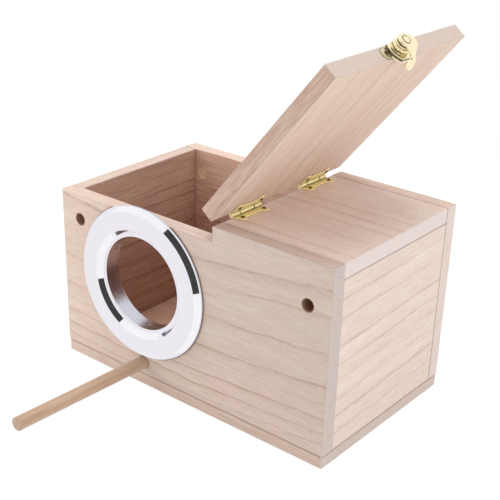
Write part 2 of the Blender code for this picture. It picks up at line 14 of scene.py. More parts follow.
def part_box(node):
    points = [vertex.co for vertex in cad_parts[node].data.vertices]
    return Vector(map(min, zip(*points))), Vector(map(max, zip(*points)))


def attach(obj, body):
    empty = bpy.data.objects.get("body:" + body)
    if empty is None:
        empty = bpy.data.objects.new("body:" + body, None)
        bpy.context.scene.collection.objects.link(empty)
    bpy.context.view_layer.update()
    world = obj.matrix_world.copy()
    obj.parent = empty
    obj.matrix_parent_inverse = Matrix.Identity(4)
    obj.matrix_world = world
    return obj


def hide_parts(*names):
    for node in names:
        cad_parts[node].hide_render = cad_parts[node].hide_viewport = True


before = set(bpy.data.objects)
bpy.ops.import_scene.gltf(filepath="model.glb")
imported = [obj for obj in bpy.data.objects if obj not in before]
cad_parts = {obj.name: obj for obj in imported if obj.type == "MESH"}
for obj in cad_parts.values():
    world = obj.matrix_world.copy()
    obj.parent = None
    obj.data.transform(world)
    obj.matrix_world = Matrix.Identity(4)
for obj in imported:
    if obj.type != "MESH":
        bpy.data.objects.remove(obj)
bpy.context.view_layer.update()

bl_info = {
    "name": "Parakeet nest box",
    "version": (1, 0, 0),
    "blender": (4, 5, 0),
    "location": "3D View > Sidebar > Nest box",
    "description": "Adds the grained, turned and stamped pieces of a parakeet nest box",
    "category": "Object",
}

mm = 0.001
SMOOTH_ANGLE = math.radians(32)
SOFT_ANGLE = math.radians(38)
CORNER_STEPS = 6
WELD = 1e-7

X, Y, Z = np.eye(3)
X_AXIS, Z_AXIS = Vector((1, 0, 0)), Vector((0, 0, 1))
WHITE = (1, 1, 1)


# ---------------------------------------------------------------- sizes and colours

def size(name, description, default, low=0.0):
    """A length in metres that a user may change."""
    return FloatProperty(name=name, description=description, default=default, min=low,
                         precision=5, unit="LENGTH")


def share(name, description, default):
    """A plain number without a unit."""
    return FloatProperty(name=name, description=description, default=default, precision=4)


def angle(name, description, degrees):
    """An angle that a user may change."""
    return FloatProperty(name=name, description=description, default=math.radians(degrees),
                         unit="ROTATION")


def colour(name, description, default):
    """A colour that a user may change, in linear light."""
    return FloatVectorProperty(name=name, description=description, default=default, size=3,
                               min=0, max=1, subtype="COLOR")


class WoodLooks(PropertyGroup):
    """Colours and grain of the paulownia boards and of the dowel."""
    pale: colour("Pale wood", "Wood between two growth lines", (0.79, 0.665, 0.58))
    tan: colour("Tan wood", "Darker, browner stretches of the same wood", (0.66, 0.52, 0.425))
    pink: colour("Pink wood", "Pinker patches of the same wood", (0.80, 0.61, 0.56))
    line: colour("Growth line", "The pores at the start of a year's growth", (0.43, 0.24, 0.165))
    end: colour("End grain", "Sawn board ends", (0.60, 0.53, 0.505))
    # Painted shade inside the box: the inner faces' darkening, and more of it low down.
    shade: colour("Inner wood", "Darkening of the faces that look into the box", (1.0, 0.83, 0.745))
    low_inner_shade: colour("Low inner wood", "Darkening low down inside the box", (0.74, 0.66, 0.61))
    # Painted shade on the front's right part.
    front_painted_shade: colour("Dull wood", "Darkening of the front's right part", (0.905, 0.91, 0.925))
    # Painted shade on the front's hole walls and painted shadow round the ring's foot.
    painted_shadow_brown: colour("Burnt wood", "Walls of the front's drilled holes", (0.30, 0.14, 0.06))
    drilled: colour("Drilled wood", "Walls of the back's drilled holes", (0.90, 0.68, 0.48))
    dowel: colour("Dowel", "The perch's darker wood", (0.46, 0.31, 0.21))
    dowel_line: colour("Dowel streak", "Streaks along the perch", (0.30, 0.18, 0.11))
    dowel_pale: colour("Dowel light", "Paler bands and ends of the perch", (0.56, 0.41, 0.31))
    fade: size("Line width", "Width over which a growth line fades out", 5 * mm, mm)
    wander: size("Wander", "How far the growth lines stray", 2.2 * mm)
    relief: size("Relief", "Depth of the open grain", 0.12 * mm)


class MetalLooks(PropertyGroup):
    """Colours of the metals."""
    aluminium: colour("Aluminium", "The turned ring", (0.93, 0.92, 0.95))
    speckle: colour("Speckle", "Small duller spots on the ring", (0.84, 0.83, 0.87))
    cloud: colour("Cloud", "Broad duller stretches of the ring", (0.88, 0.875, 0.91))
    face: colour("Ring face", "Darkening of the ring's flat face", (0.93, 0.905, 0.935))
    bore: colour("Ring bore", "Darkening of the ring's bore", (0.70, 0.71, 0.77))
    satin: share("Satin", "Roughness that the ring's flat face adds", 0.30)
    polish: share("Polish", "Roughness of polished metal", 0.05)
    brass: colour("Brass", "Hinges and latch", (0.97, 0.86, 0.58))
    tarnish: colour("Tarnish", "Brass in corners and under edges", (0.50, 0.34, 0.10))
    # Painted shade in the brass's crevices, its splits and under its raised parts.
    painted_crevice_shade: colour("Grime", "Dirt and shade in the brass's crevices", (0.07, 0.04, 0.015))
    nail: colour("Nail", "Darkened brass nail heads", (0.22, 0.13, 0.05))
    steel: colour("Steel", "Screws", (0.55, 0.55, 0.57))
    brad: colour("Brad", "Brads", (0.25, 0.24, 0.24))
    hinge_lustre: share("Hinge lustre", "How metallic the hinges' brass looks", 0.3)
    latch_lustre: share("Latch lustre", "How metallic the latch's brass looks", 0.9)


class RingSizes(PropertyGroup):
    """The turned entrance ring's section."""
    taper: size("Side taper", "How much the ring narrows to its face", 2.8 * mm)
    edge: size("Edge height", "Height of the upright edge under the taper", 1.6 * mm)
    face_width: size("Face width", "Width of the flat face", 11.0 * mm)
    lip_width: size("Lip width", "Width of the step inside the face", 4.9 * mm)
    recess_depth: size("Recess depth", "How deep the step lies", 3.3 * mm)
    recess_taper: size("Recess taper", "How much the recess narrows inwards", 2.6 * mm)
    wall: size("Sleeve wall", "Thickness of the sleeve in the panel", 1.4 * mm)
    seam: size("Seam", "Gap between the ring and the panel", 0.3 * mm)
    rounding: size("Rounding", "Rounding of the turned corners", 0.45 * mm)
    sleeve_rounding: size("Sleeve rounding", "Rounding of the sleeve's edges", 0.2 * mm)
    sides: IntProperty(name="Sides", description="Steps round the ring", default=180, min=24)


class ScrewSizes(PropertyGroup):
    """The cross-headed screws of the ring, and their stepped holes in its sleeve."""
    head: size("Head radius", "Radius of a screw's head", 1.5 * mm)
    shank: size("Shank radius", "Radius of the shank", 0.9 * mm)
    length: size("Length", "Length with the point", 6 * mm)
    point: size("Point", "Length of the point", 1.2 * mm)
    under: size("Head height", "Depth of the head's underside in the sleeve", 0.5 * mm)
    sink: size("Sink", "Depth of the head's rim in the sleeve", 0.12 * mm)
    ease: size("Ease", "Bevel of the head's edges", 0.05 * mm)
    dome: size("Dome", "Height of the head's dome", 0.10 * mm)
    slot: size("Slot depth", "Depth of the crossing slots", 0.32 * mm)
    play: size("Play", "Gap round a screw", 0.25 * mm)
    seat: size("Seat depth", "Depth of the hole for the head", 0.8 * mm)
    seat_reach: size("Seat reach", "How far the hole's cutter stands out of the wall", 2 * mm)


class PerchSizes(PropertyGroup):
    """The dowel perch."""
    radius: size("Radius", "Radius of the dowel", 4 * mm)
    rise: angle("Rise", "How far the perch points up", 1.7)
    ease: size("Ease", "Bevel of the sawn ends", 0.5 * mm)


class HingeSizes(PropertyGroup):
    """The butterfly hinges."""
    waist: size("Waist", "A leaf's reach from the pin between its ears", 6.2 * mm)
    end_reach: size("End reach", "A leaf's reach from the pin at its two ends", 2.2 * mm)
    ear_reach: size("Ear reach", "Distance from the pin to an ear's nail", 5.7 * mm)
    ear_radius: size("Ear radius", "Roundness of an ear", 2.8 * mm)
    ear_share: share("Ear place", "Place of an ear along half the hinge", 0.74)
    tip_reach: size("Tip reach", "Reach of the small point on an ear", 8.4 * mm)
    tip_radius: size("Tip radius", "Roundness of that point", 0.8 * mm)
    tip_share: share("Tip place", "Place of the point along half the hinge", 0.86)
    middle_reach: size("Middle reach", "Centre of the leaf's middle lobe", 2.7 * mm)
    middle_radius: size("Middle radius", "Roundness of the middle lobe", 3.6 * mm)
    middle_share: share("Middle knuckle", "Middle knuckle's share of half the barrel", 0.48)
    thickness: size("Thickness", "Thickness of the stamped sheet", 0.6 * mm)
    knuckle: size("Knuckle radius", "Outside radius of the barrel", 1.5 * mm)
    seam: size("Seam", "Gap between two knuckles", 0.3 * mm)
    pin: size("Pin radius", "Radius of the pin", 0.6 * mm)
    pin_play: size("Pin play", "Gap round the pin", 0.2 * mm)
    rim_rounding: size("Rim rounding", "Rounding of a knuckle's rims", 0.3 * mm)
    bore_rounding: size("Bore rounding", "Rounding of a knuckle's bore", 0.1 * mm)
    pin_stand: size("Pin stand", "How far the pin stands out of the barrel", 0.3 * mm)
    split: size("Split", "Half the width of the dark split between two knuckles", 0.35 * mm)
    rest_angle: angle("Lid angle", "How far the lid stands open at rest", 129)


class NailSizes(PropertyGroup):
    """Small round-headed nails."""
    head: size("Head radius", "Radius of a nail's head", 1.1 * mm)
    height: size("Head height", "Height of a nail's head", 0.45 * mm)
    rim: share("Head rim", "Height of the head's upright rim as a share of the head's", 0.25)
    shank: size("Shank radius", "Radius of the shank", 0.55 * mm)
    length: size("Length", "Length of the shank in the wood", 6 * mm)
    point: size("Point", "Length of the point", 1.2 * mm)


class BradSizes(PropertyGroup):
    """The headless brads at the box's corners."""
    radius: size("Radius", "Radius of a brad", 0.5 * mm)
    length: size("Length", "Length of a brad without its point", 2 * mm)
    drop: size("Drop", "Depth of the right brad under the panel's top", 6 * mm)
    inset: size("Inset", "Distance of the inner brad from the left wall", 2.2 * mm)
    height: size("Height", "Height of the inner brad above the base", 82 * mm)


class LatchSizes(PropertyGroup):
    """The horn hook latch."""
    width: size("Plate width", "Length of a plate from ear to ear", 27.8 * mm)
    thickness: size("Plate thickness", "Thickness of a plate's sheet", 0.6 * mm)
    ear_radius: size("Ear radius", "Roundness of a plate's ear", 3.4 * mm)
    waist: size("Waist", "Width of the plate beside its ears", 4.6 * mm)
    disc_radius: size("Disc radius", "Roundness of the plate's middle", 9.2 * mm)
    drop: size("Drop", "Reach of the plate's middle to its short side", 4.2 * mm)
    rise: size("Rise", "Reach of the plate's middle to its long side", 7.6 * mm)
    block_inset: size("Block inset", "Step round the raised middle", 0.5 * mm)
    block_height: size("Block height", "Height of the raised middle", 1.5 * mm)
    boss_radius: size("Boss radius", "Radius of the boss", 4.7 * mm)
    boss_height: size("Boss height", "Height of the boss", 1.9 * mm)
    neck_radius: size("Neck radius", "Radius of the neck under the hook", 3.6 * mm)
    neck_height: size("Neck height", "Height of the neck", 1.7 * mm)
    seam: size("Seam", "Gap between the neck and the hook", 0.3 * mm)
    hook: size("Hook thickness", "Thickness of the hook", 1.5 * mm)
    eye_radius: size("Eye radius", "Radius of the hook's eye", 4.2 * mm)
    cup_depth: size("Cup depth", "Depth of the cup in the eye", 0.7 * mm)
    cup_wall: size("Cup wall", "Wall round the cup", 1.4 * mm)
    reach: size("Hook reach", "Length that the hook's outline is scaled to", 20.6 * mm)
    rivet: size("Rivet radius", "Radius of the rivet's shaft", 1.3 * mm)
    play: size("Rivet play", "Gap round the shaft", 0.25 * mm)
    head_radius: size("Head radius", "Radius of the rivet's head", 2.35 * mm)
    head_height: size("Head height", "Height of the rivet's head", 0.9 * mm)
    rim: share("Head rim", "Height of a head's upright rim as a share of the head's", 0.3)
    dent: size("Dent", "Depth of the dent in the rivet's head", 0.05 * mm)
    stud_distance: size("Stud distance", "Distance from the rivet to the stud", 12.9 * mm)
    stud_radius: size("Stud radius", "Radius of the stud's neck", 1.3 * mm)
    stud_play: size("Stud play", "Gap round the stud in the slot", 0.3 * mm)
    stud_head: size("Stud head", "Radius of the stud's head", 2.4 * mm)
    stud_head_height: size("Stud head height", "Height of the stud's head", 0.8 * mm)
    seat_angle: angle("Seat angle", "Where the slot's round end lies", 40)
    slot_angle: angle("Slot angle", "Where the slot opens", 75)
    slot_over: angle("Slot overrun", "How far the slot's cutter runs past its opening", 12)
    soft: size("Hook rounding", "Rounding of the hook's cut edges", 0.14 * mm)


class StageSizes(PropertyGroup):
    """Camera, lamps and floor."""
    camera_place: FloatVectorProperty(name="Camera", description="Where the camera stands",
                                      default=(0.3649, -0.4607, 0.3411), size=3,
                                      subtype="TRANSLATION", unit="LENGTH")
    camera_turn: FloatVectorProperty(name="Camera turn", description="The camera's Euler angles",
                                     default=(math.radians(64.112), math.radians(-1.078),
                                              math.radians(40.300)), size=3, subtype="EULER")
    lens: share("Lens", "Focal length in millimetres on a 36 mm sensor", 76.889)
    shift_x: share("Shift across", "Framing shift as a share of the picture", 0.04517)
    shift_y: share("Shift up", "Framing shift as a share of the picture", 0.07298)
    ambient: share("Ambient", "Level of the soft light from all round", 0.5)
    key: share("Key lamp", "Power of the large lamp on the right in watts", 7.9)
    fill: share("Fill lamp", "Power of the lamp on the left in watts", 1.15)
    top: share("Top lamp", "Power of the lamp overhead in watts", 14.0)
    shadow: share("Shadow", "How much of the floor's look is left to its shadow", 0.12)
    shadow_reach: FloatVectorProperty(name="Shadow reach", size=2, default=(0.25, 0.7),
                                      description="Where the shadow starts to fade and ends",
                                      unit="LENGTH")
    lift: share("Lift", "Light that the shadow is lifted by", 0.45)
    paper: colour("Paper", "The floor", (0.89, 0.89, 0.89))
    gap_colour: colour("Gap", "The dark strip that the ring mirrors", (0.09, 0.085, 0.085))
    gap_places: FloatVectorProperty(name="Gap places", size=2, unit="ROTATION",
                                    description="Places round the ring that mirror the strip",
                                    default=(math.radians(11), math.radians(62)))
    gap_slopes: FloatVectorProperty(name="Gap slopes", size=2, unit="ROTATION",
                                    description="Slopes of the ring that mirror the strip",
                                    default=(math.radians(45), math.radians(58)))
    gap_distance: size("Gap distance", "Distance from the ring to the dark strip", 2.2)
    card_colour: colour("Card", "The pale card that the ring's side mirrors", (0.88, 0.89, 0.94))
    card_gap: size("Card gap", "Gap between the ring and the card", 0.2 * mm)
    card_width: size("Card width", "Reach of the card round the ring", 70 * mm)
    card_stand: size("Card stand", "Distance from the panel to the card", 0.4 * mm)


GROUPS = {"nest_wood": WoodLooks, "nest_metal": MetalLooks, "nest_ring": RingSizes,
          "nest_screw": ScrewSizes, "nest_perch": PerchSizes, "nest_hinge": HingeSizes,
          "nest_nail": NailSizes, "nest_brad": BradSizes, "nest_latch": LatchSizes,
          "nest_stage": StageSizes}


# ---------------------------------------------------------------- shader expressions

class Value:
    """A socket that takes part in + - * and /, which add Math nodes."""

    def __init__(self, shader, socket):
        self.shader, self.socket = shader, socket

    def math(self, operation, *others):
        return self.shader.node("ShaderNodeMath", {"operation": operation},
                                dict(enumerate((self, *others))))

    def back(self, operation, other):
        return self.shader.node("ShaderNodeMath", {"operation": operation}, {0: other, 1: self})

    def __add__(self, other):
        return self.math("ADD", other)

    def __sub__(self, other):
        return self.math("SUBTRACT", other)

    def __mul__(self, other):
        return self.math("MULTIPLY", other)

    def __truediv__(self, other):
        return self.math("DIVIDE", other)

    def __rsub__(self, other):
        return self.back("SUBTRACT", other)

    def __rtruediv__(self, other):
        return self.back("DIVIDE", other)

    __radd__ = __add__
    __rmul__ = __mul__

    def smooth(self, low, high):
        """0 below low, 1 above high and an S-curve between."""
        return self.shader.node("ShaderNodeMapRange", {"interpolation_type": "SMOOTHSTEP"},
                                {0: self, 1: low, 2: high})

    def output(self, name):
        """Another output of the same node."""
        return Value(self.shader, self.socket.node.outputs[name])


class Shader:
    """The node tree of one material or of the world."""

    def __init__(self, tree):
        self.tree = tree
        tree.nodes.clear()

    def feed(self, socket, value):
        if isinstance(value, Value):
            self.tree.links.new(value.socket, socket)
        elif socket.type == "RGBA":
            socket.default_value = (*value, 1)
        else:
            socket.default_value = value

    def node(self, kind, settings=None, inputs=None, output=0):
        """Adds a node, makes its settings, feeds its sockets and returns one output."""
        made = self.tree.nodes.new(kind)
        for name, setting in (settings or {}).items():
            setattr(made, name, setting)
        for name, value in (inputs or {}).items():
            self.feed(made.inputs[name], value)
        return Value(self, made.outputs[output]) if len(made.outputs) else made

    def coordinates(self, kind="Object"):
        return self.node("ShaderNodeTexCoord", output=kind)

    def dot(self, vector, direction):
        return self.node("ShaderNodeVectorMath", {"operation": "DOT_PRODUCT"},
                         {0: vector, 1: tuple(direction)}, "Value")

    def length(self, vector):
        return self.node("ShaderNodeVectorMath", {"operation": "LENGTH"}, {0: vector}, "Value")

    def away(self, vector, origin):
        """A place as seen from an origin."""
        return self.node("ShaderNodeVectorMath", {"operation": "SUBTRACT"},
                         {0: vector, 1: tuple(origin)}, "Vector")

    def noise(self, place, detail=2.0, roughness=0.5):
        """Fractal noise at a place given as three values."""
        point = self.node("ShaderNodeCombineXYZ", None, dict(enumerate(place)))
        return self.node("ShaderNodeTexNoise", {"noise_dimensions": "3D"},
                         {"Vector": point, "Scale": 1.0, "Detail": detail,
                          "Roughness": roughness})

    def chance(self, value):
        """A different number from 0 to 1 for each whole number."""
        return self.node("ShaderNodeTexWhiteNoise", {"noise_dimensions": "1D"}, {"W": value})

    def mix(self, first, second, share_of_second, blend="MIX"):
        """A blend of two colours."""
        return self.node("ShaderNodeMix", {"data_type": "RGBA", "blend_type": blend},
                         {0: share_of_second, 6: first, 7: second}, 2)

    def bump(self, height, distance, strength):
        return self.node("ShaderNodeBump", None,
                         {"Strength": strength, "Distance": distance, "Height": height})

    def glow(self, colour_of_light, strength=1.0):
        """A surface that only gives light."""
        return self.node("ShaderNodeEmission", None,
                         {"Color": colour_of_light, "Strength": strength})

    def surface(self, **sockets):
        """The Principled shader and its output; an underscore stands for a space."""
        named = {key.replace("_", " "): value for key, value in sockets.items()}
        shader = self.node("ShaderNodeBsdfPrincipled", None, named)
        self.node("ShaderNodeOutputMaterial", None, {"Surface": shader})


def new_material(name):
    material = bpy.data.materials.new(name)
    material.use_nodes = True
    return material, Shader(material.node_tree)


def paint(obj, material):
    """Puts one material on all of a piece."""
    obj.data.materials.clear()
    obj.data.materials.append(material)


# ---------------------------------------------------------------- surfaces

def filleted(corners, radii):
    """An outline with its corners rounded.

    Each corner is replaced by the parabola that starts a radius before it and ends a
    radius after it, with the corner as its control point: the square of what is left
    times the start, twice the product times the corner, the square of what has passed
    times the end.
    """
    corner = np.asarray(corners, float)
    before, after = np.roll(corner, 1, 0) - corner, np.roll(corner, -1, 0) - corner
    radius = np.broadcast_to(np.asarray(radii, float), len(corner))[:, None]
    to_start, to_end = (side * np.minimum(radius / np.maximum(length, WELD), 0.45)
                        for side, length in ((before, np.linalg.norm(before, axis=1)[:, None]),
                                             (after, np.linalg.norm(after, axis=1)[:, None])))
    passed = np.linspace(0, 1, CORNER_STEPS)[None, :, None]
    curve = corner[:, None] + (1 - passed) ** 2 * to_start[:, None] + passed ** 2 * to_end[:, None]
    return curve.reshape(-1, corner.shape[1])


def inward(outline):
    """Unit vectors at an outline's points, square to it and pointing inwards."""
    along = np.roll(outline, -1, 0) - np.roll(outline, 1, 0)
    across = np.stack([-along[:, 1], along[:, 0]], 1)
    area = np.sum(outline[:, 0] * np.roll(outline[:, 1], -1)
                  - outline[:, 1] * np.roll(outline[:, 0], -1))
    across *= np.sign(area) / np.maximum(np.linalg.norm(across, axis=1), WELD)[:, None]
    return across


def slab_rows(outline, levels):
    """Rows of points of a plate: the outline moved inwards and up for each level."""
    square = inward(outline)
    return np.stack([np.column_stack([outline + square * inset, np.full(len(outline), height)])
                     for inset, height in levels])


def turned_rows(profile, sides):
    """Rows of points of a turned shape about the third axis.

    A profile point of radius r and height h gives the circle (r cos a, r sin a, h).
    """
    turn = np.linspace(0, 2 * math.pi, sides, endpoint=False)
    profile = np.asarray(profile, float)
    radius, height = profile[:, :1], profile[:, 1:]
    return np.stack([radius * np.cos(turn), radius * np.sin(turn),
                     np.broadcast_to(height, (len(profile), sides))], 2)


def basis(first, second, third, origin):
    """A matrix that puts a shape's three axes along directions from an origin."""
    made = Matrix.Identity(4)
    for i, direction in enumerate((first, second, third, origin)):
        made.col[i][:3] = direction
    return made


def along_axis(direction, origin):
    """A matrix that stands a shape's third axis along a direction at an origin."""
    up = Vector(direction).normalized()
    side = up.orthogonal().normalized()
    return basis(side, up.cross(side), up, origin)


def add_object(name, data):
    """A new object for a mesh, a lamp or a camera, linked to the scene."""
    made = bpy.data.objects.new(name, data)
    bpy.context.scene.collection.objects.link(made)
    return made


def build(name, rows, place=None, loop=False, caps=True):
    """A mesh piece from rows of points, each row a closed ring.

    Neighbouring rows are joined by quads. With loop the last row joins the first, else
    each end is closed by one face. Doubles are merged, so a row at one point is a pole.
    """
    count, around = rows.shape[:2]
    index = np.arange(count * around).reshape(count, around)
    if loop:
        index = np.vstack([index, index[:1]])
    beside = np.roll(index, -1, 1)
    quads = np.stack([index[:-1], beside[:-1], beside[1:], index[1:]], 2).reshape(-1, 4)
    faces = quads.tolist()
    if caps and not loop:
        faces += [index[0][::-1].tolist(), index[-1].tolist()]
    mesh = bpy.data.meshes.new(name)
    mesh.from_pydata(rows.reshape(-1, 3).tolist(), [], faces)
    if place is not None:
        mesh.transform(place)
    bm = bmesh.new()
    bm.from_mesh(mesh)
    bmesh.ops.remove_doubles(bm, verts=bm.verts, dist=WELD)
    bmesh.ops.dissolve_degenerate(bm, edges=bm.edges, dist=WELD)
    bmesh.ops.recalc_face_normals(bm, faces=bm.faces)
    return shaded(name, bm, mesh)


def shaded(name, bm, mesh):
    """A smoothly shaded piece of what has been built, written into a mesh."""
    bm.to_mesh(mesh)
    bm.free()
    shade(mesh)
    return add_object(name, mesh)


def shade(mesh):
    """Smooth shading with sharp edges where faces meet at more than the smooth angle."""
    mesh.polygons.foreach_set("use_smooth", np.ones(len(mesh.polygons), bool))
    mesh.set_sharp_from_angle(angle=SMOOTH_ANGLE)


def turned(name, profile, sides, place=None, **options):
    """A piece turned from a profile of radii and heights."""
    return build(name, turned_rows(profile, sides), place, **options)


def joined(name, pieces):
    """One piece made of several that touch or lie in each other."""
    bm = bmesh.new()
    for piece in pieces:
        bm.from_mesh(piece.data)
        bpy.data.objects.remove(piece)
    return shaded(name, bm, bpy.data.meshes.new(name))


def cut(obj, tool, operation="DIFFERENCE"):
    """Applies a Boolean of one piece with another and removes the other."""
    modifier = obj.modifiers.new("cut", "BOOLEAN")
    modifier.operation, modifier.object, modifier.solver = operation, tool, "EXACT"
    graph = bpy.context.evaluated_depsgraph_get()
    mesh = bpy.data.meshes.new_from_object(obj.evaluated_get(graph))
    obj.modifiers.clear()
    obj.data = mesh
    bpy.data.objects.remove(tool)
    shade(mesh)


def soften(obj, width):
    """Rounds a piece's sharp edges with a Bevel modifier."""
    bevel = obj.modifiers.new("softened edges", "BEVEL")
    bevel.width, bevel.segments, bevel.limit_method = width, 2, "ANGLE"
    bevel.angle_limit = SOFT_ANGLE


def settle(obj, body, node, material):
    """Gives a piece its material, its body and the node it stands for.

    The lid's and the hook's pieces are made with the lid closed and are turned open here.
    """
    if body != "box":
        obj.data.transform(lid_opening())
    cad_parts[node].name = node + ".cad"
    obj.name = node
    paint(obj, material)
    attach(obj, body)
    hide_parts(node)


def middle(node):
    """The middle of a CAD node's box."""
    low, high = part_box(node)
    return (low + high) / 2


def mesh_points(node):
    """The vertices of a CAD node as rows."""
    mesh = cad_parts[node].data
    points = np.empty(len(mesh.vertices) * 3)
    mesh.vertices.foreach_get("co", points)
    return points.reshape(-1, 3)


def middle_of_mesh(node):
    """The middle of a node's vertices, which for a board or a turned piece is on its axis."""
    points = mesh_points(node)
    return Vector((points.min(0) + points.max(0)) / 2)


# ---------------------------------------------------------------- materials

def from_axis(across, up):
    """The distance from an axis, given the two places square to it."""
    return (across * across + up * up).math("SQRT")


def paulownia(node, grain, out, log, lines, tint, seed, inside):
    """Plain-sawn paulownia cut from a log, so faces, edges and ends agree.

    Growth lines are cylinders round the log's heart, each through its place on the board's
    outer face: a sharp dark start that fades out over the line's width. Slow noise makes
    them stray and come and go. Fibres and pores are noise that is drawn out along the
    grain, so board ends show them as dots.
    """
    looks = bpy.context.scene.nest_wood
    heart, depth, tilt, bow = log
    across = np.cross(out, grain)
    turn = math.radians(tilt)
    lengthways = grain * math.cos(turn) + across * math.sin(turn)
    sideways = across * math.cos(turn) - grain * math.sin(turn)
    axes = np.stack([grain, across, out])
    points = mesh_points(node) @ axes.T / mm
    centre, half = (points.min(0) + points.max(0)) / 2, (points.max(0) - points.min(0)) / 2
    material, s = new_material(f"{node}_paulownia")
    place = s.coordinates()
    u = s.dot(place, lengthways / mm) + seed * 137.0
    v = s.dot(place, sideways / mm) - heart
    w = s.dot(place, out / mm) - (centre[2] + half[2] - depth)
    slow = s.noise((u / 70, v / 26, w / 42 + seed), 2.0)
    quick = s.noise((u / 9, v / 4, w / 6 + seed), 3.0, 0.6)
    arch = s.dot(place, grain / mm)
    radius = (from_axis(v, w) + (slow - 0.5) * (2 * looks.wander / mm)
              + (quick - 0.5) * 1.5 + arch * arch * bow)
    present = s.noise((u / 40, v / 8, w / 9 + seed * 3), 3.0).smooth(0.34, 0.6) * 0.7 + 0.3
    line, early = 0.0, 0.0
    for start, strength in lines:
        past = radius - math.hypot(start - heart, depth)
        rise = past.smooth(-0.4, 0.1) * strength
        line = (1 - past.smooth(0.0, 1.1)) * rise + line
        early = (1 - past.smooth(0.0, looks.fade / mm)) * rise + early
    line, early = line * present, early * (present * 0.5 + 0.5)
    fine = s.noise((u / 11, v / 0.55, w / 0.55), 2.0, 0.6)
    fibres = s.noise((u / 20, v / 1.1, w / 1.1), 3.0, 0.6)
    pores = s.noise((u / 3.2, v / 0.38, w / 0.38), 1.0).smooth(0.58, 0.74)
    broad = s.noise((u / 110, v / 15, w / 21 + seed), 2.0)
    patch = s.noise((u / 22, v / 9, w / 9 + seed * 5), 2.0)
    wood = s.mix(looks.pale, looks.tan, broad.smooth(0.3, 0.72) * 0.35 + early * 0.6)
    wood = s.mix(wood, looks.pink, patch.smooth(0.42, 0.66) * 0.55)
    wood = s.mix(wood, looks.tan, fibres.smooth(0.42, 0.68) * 0.5)
    wood = s.mix(wood, looks.tan, fine.smooth(0.42, 0.7) * 0.7)
    wood = s.mix(wood, looks.line, line * (fine.smooth(0.3, 0.6) * 0.45 + 0.35))
    wood = s.mix(wood, looks.line, pores * (early * 0.35 + 0.2))
    normal = s.coordinates("Normal")
    ended = s.dot(normal, grain).math("ABSOLUTE").smooth(0.55, 0.9)
    end_pores = s.noise((u, v / 0.45, w / 0.45), 2.0, 0.6).smooth(0.45, 0.7)
    end_bands = s.noise((u / 30, radius / 2.2, 0.5 + seed), 3.0, 0.6).smooth(0.4, 0.65)
    end_wood = s.mix(looks.end, looks.tan, end_bands * 0.4 + early * 0.4)
    end_wood = s.mix(end_wood, looks.line, end_pores * 0.12 + line * 0.15)
    wood = s.mix(wood, end_wood, ended * 0.9)
    first, second, third = (end - (s.dot(place, axis / mm) - halfway).math("ABSOLUTE")
                            for axis, halfway, end in zip(axes, centre, half))
    nearer, farther = first.math("MINIMUM", second), first.math("MAXIMUM", second)
    edge = nearer.math("MAXIMUM", farther.math("MINIMUM", third)) + (fibres - 0.5) * 1.2
    # Edges lightened towards the end grain's colour: partly wear, partly a painted highlight along
    # them.
    wear_and_edge_highlight = 1 - edge.smooth(0.15, 1.3)
    wood = s.mix(wood, looks.end, wear_and_edge_highlight * 0.4)
    # The board's tint: partly its own tone, partly painted light that lifts or lowers the whole
    # board.
    wood = s.mix(wood, tint, 1.0, "MULTIPLY")
    # Faces that look into the box get painted shade: darker grain, the inner shade multiplied in
    # and more painted shade low down.
    if inside is not None:
        faces_in = s.dot(normal, inside).smooth(0.5, 0.9)
        darker = fibres.smooth(0.42, 0.6) * 0.3 + pores * 0.2 + line * 0.45
        shaded_inner_wood = s.mix(wood, looks.line, darker)
        shaded_inner_wood = s.mix(shaded_inner_wood, looks.shade, 1.0, "MULTIPLY")
        low_shade_share = 1 - s.dot(place, Z / mm).smooth(45, 92)
        shaded_inner_wood = s.mix(shaded_inner_wood, looks.low_inner_shade, low_shade_share, "MULTIPLY")
        wood = s.mix(wood, shaded_inner_wood, faces_in * 0.9)
    side = s.dot(normal, across).math("ABSOLUTE").smooth(0.6, 0.9)
    streaked = s.mix(wood, looks.line, fibres.smooth(0.35, 0.6) * 0.3 + 0.18)
    wood = s.mix(wood, streaked, side * (1.0 if node == "lid_board" else 0.5))
    if node in HOLE_WALLS:
        wood = panel_marks(s, wood, node, place, normal)
    height = fibres * 0.35 - pores * 0.6 - line * 0.5 + fine * 0.3
    s.surface(Base_Color=wood, Roughness=fibres * 0.18 + 0.55 - wear_and_edge_highlight * 0.08,
              Specular_IOR_Level=0.28, Normal=s.bump(height, looks.relief, 0.55))
    return material


def panel_marks(s, wood, node, place, normal):
    """A panel's wood with the walls of its holes and, on the front, painted shade on its right part
    and a painted shadow line round the ring's foot."""
    looks = bpy.context.scene.nest_wood
    x, z = (s.dot(place, axis / mm) for axis in (X, Z))
    if node == "front_panel":
        # Painted shade on the front's right part, stronger higher up.
        duller = x.smooth(-95, 0) * (z.smooth(8, 50) * 0.5 + 0.5)
        wood = s.mix(wood, looks.front_painted_shade, duller, "MULTIPLY")
        # A painted shadow line round the ring's foot on the front face.
        ring, outer = (part / mm for part in ring_place())
        ring_foot_shadow = between(from_axis(x - ring.x, z - ring.z), outer - 1, outer + 0.8, 0.5)
        wood = s.mix(wood, looks.painted_shadow_brown, ring_foot_shadow * s.dot(normal, -Y).smooth(0.5, 0.9) * 0.65)
    # The hanging holes' walls: painted shade on the front, the drilled wood's own colour on the
    # back.
    hole_x, hole_z, hole_radius = HANGING_HOLE
    away = from_axis(x.math("ABSOLUTE") - hole_x, z - hole_z)
    near_hole = 1 - away.smooth(hole_radius, hole_radius + 0.5)
    return s.mix(wood, getattr(looks, HOLE_WALLS[node]), near_hole * 0.8)


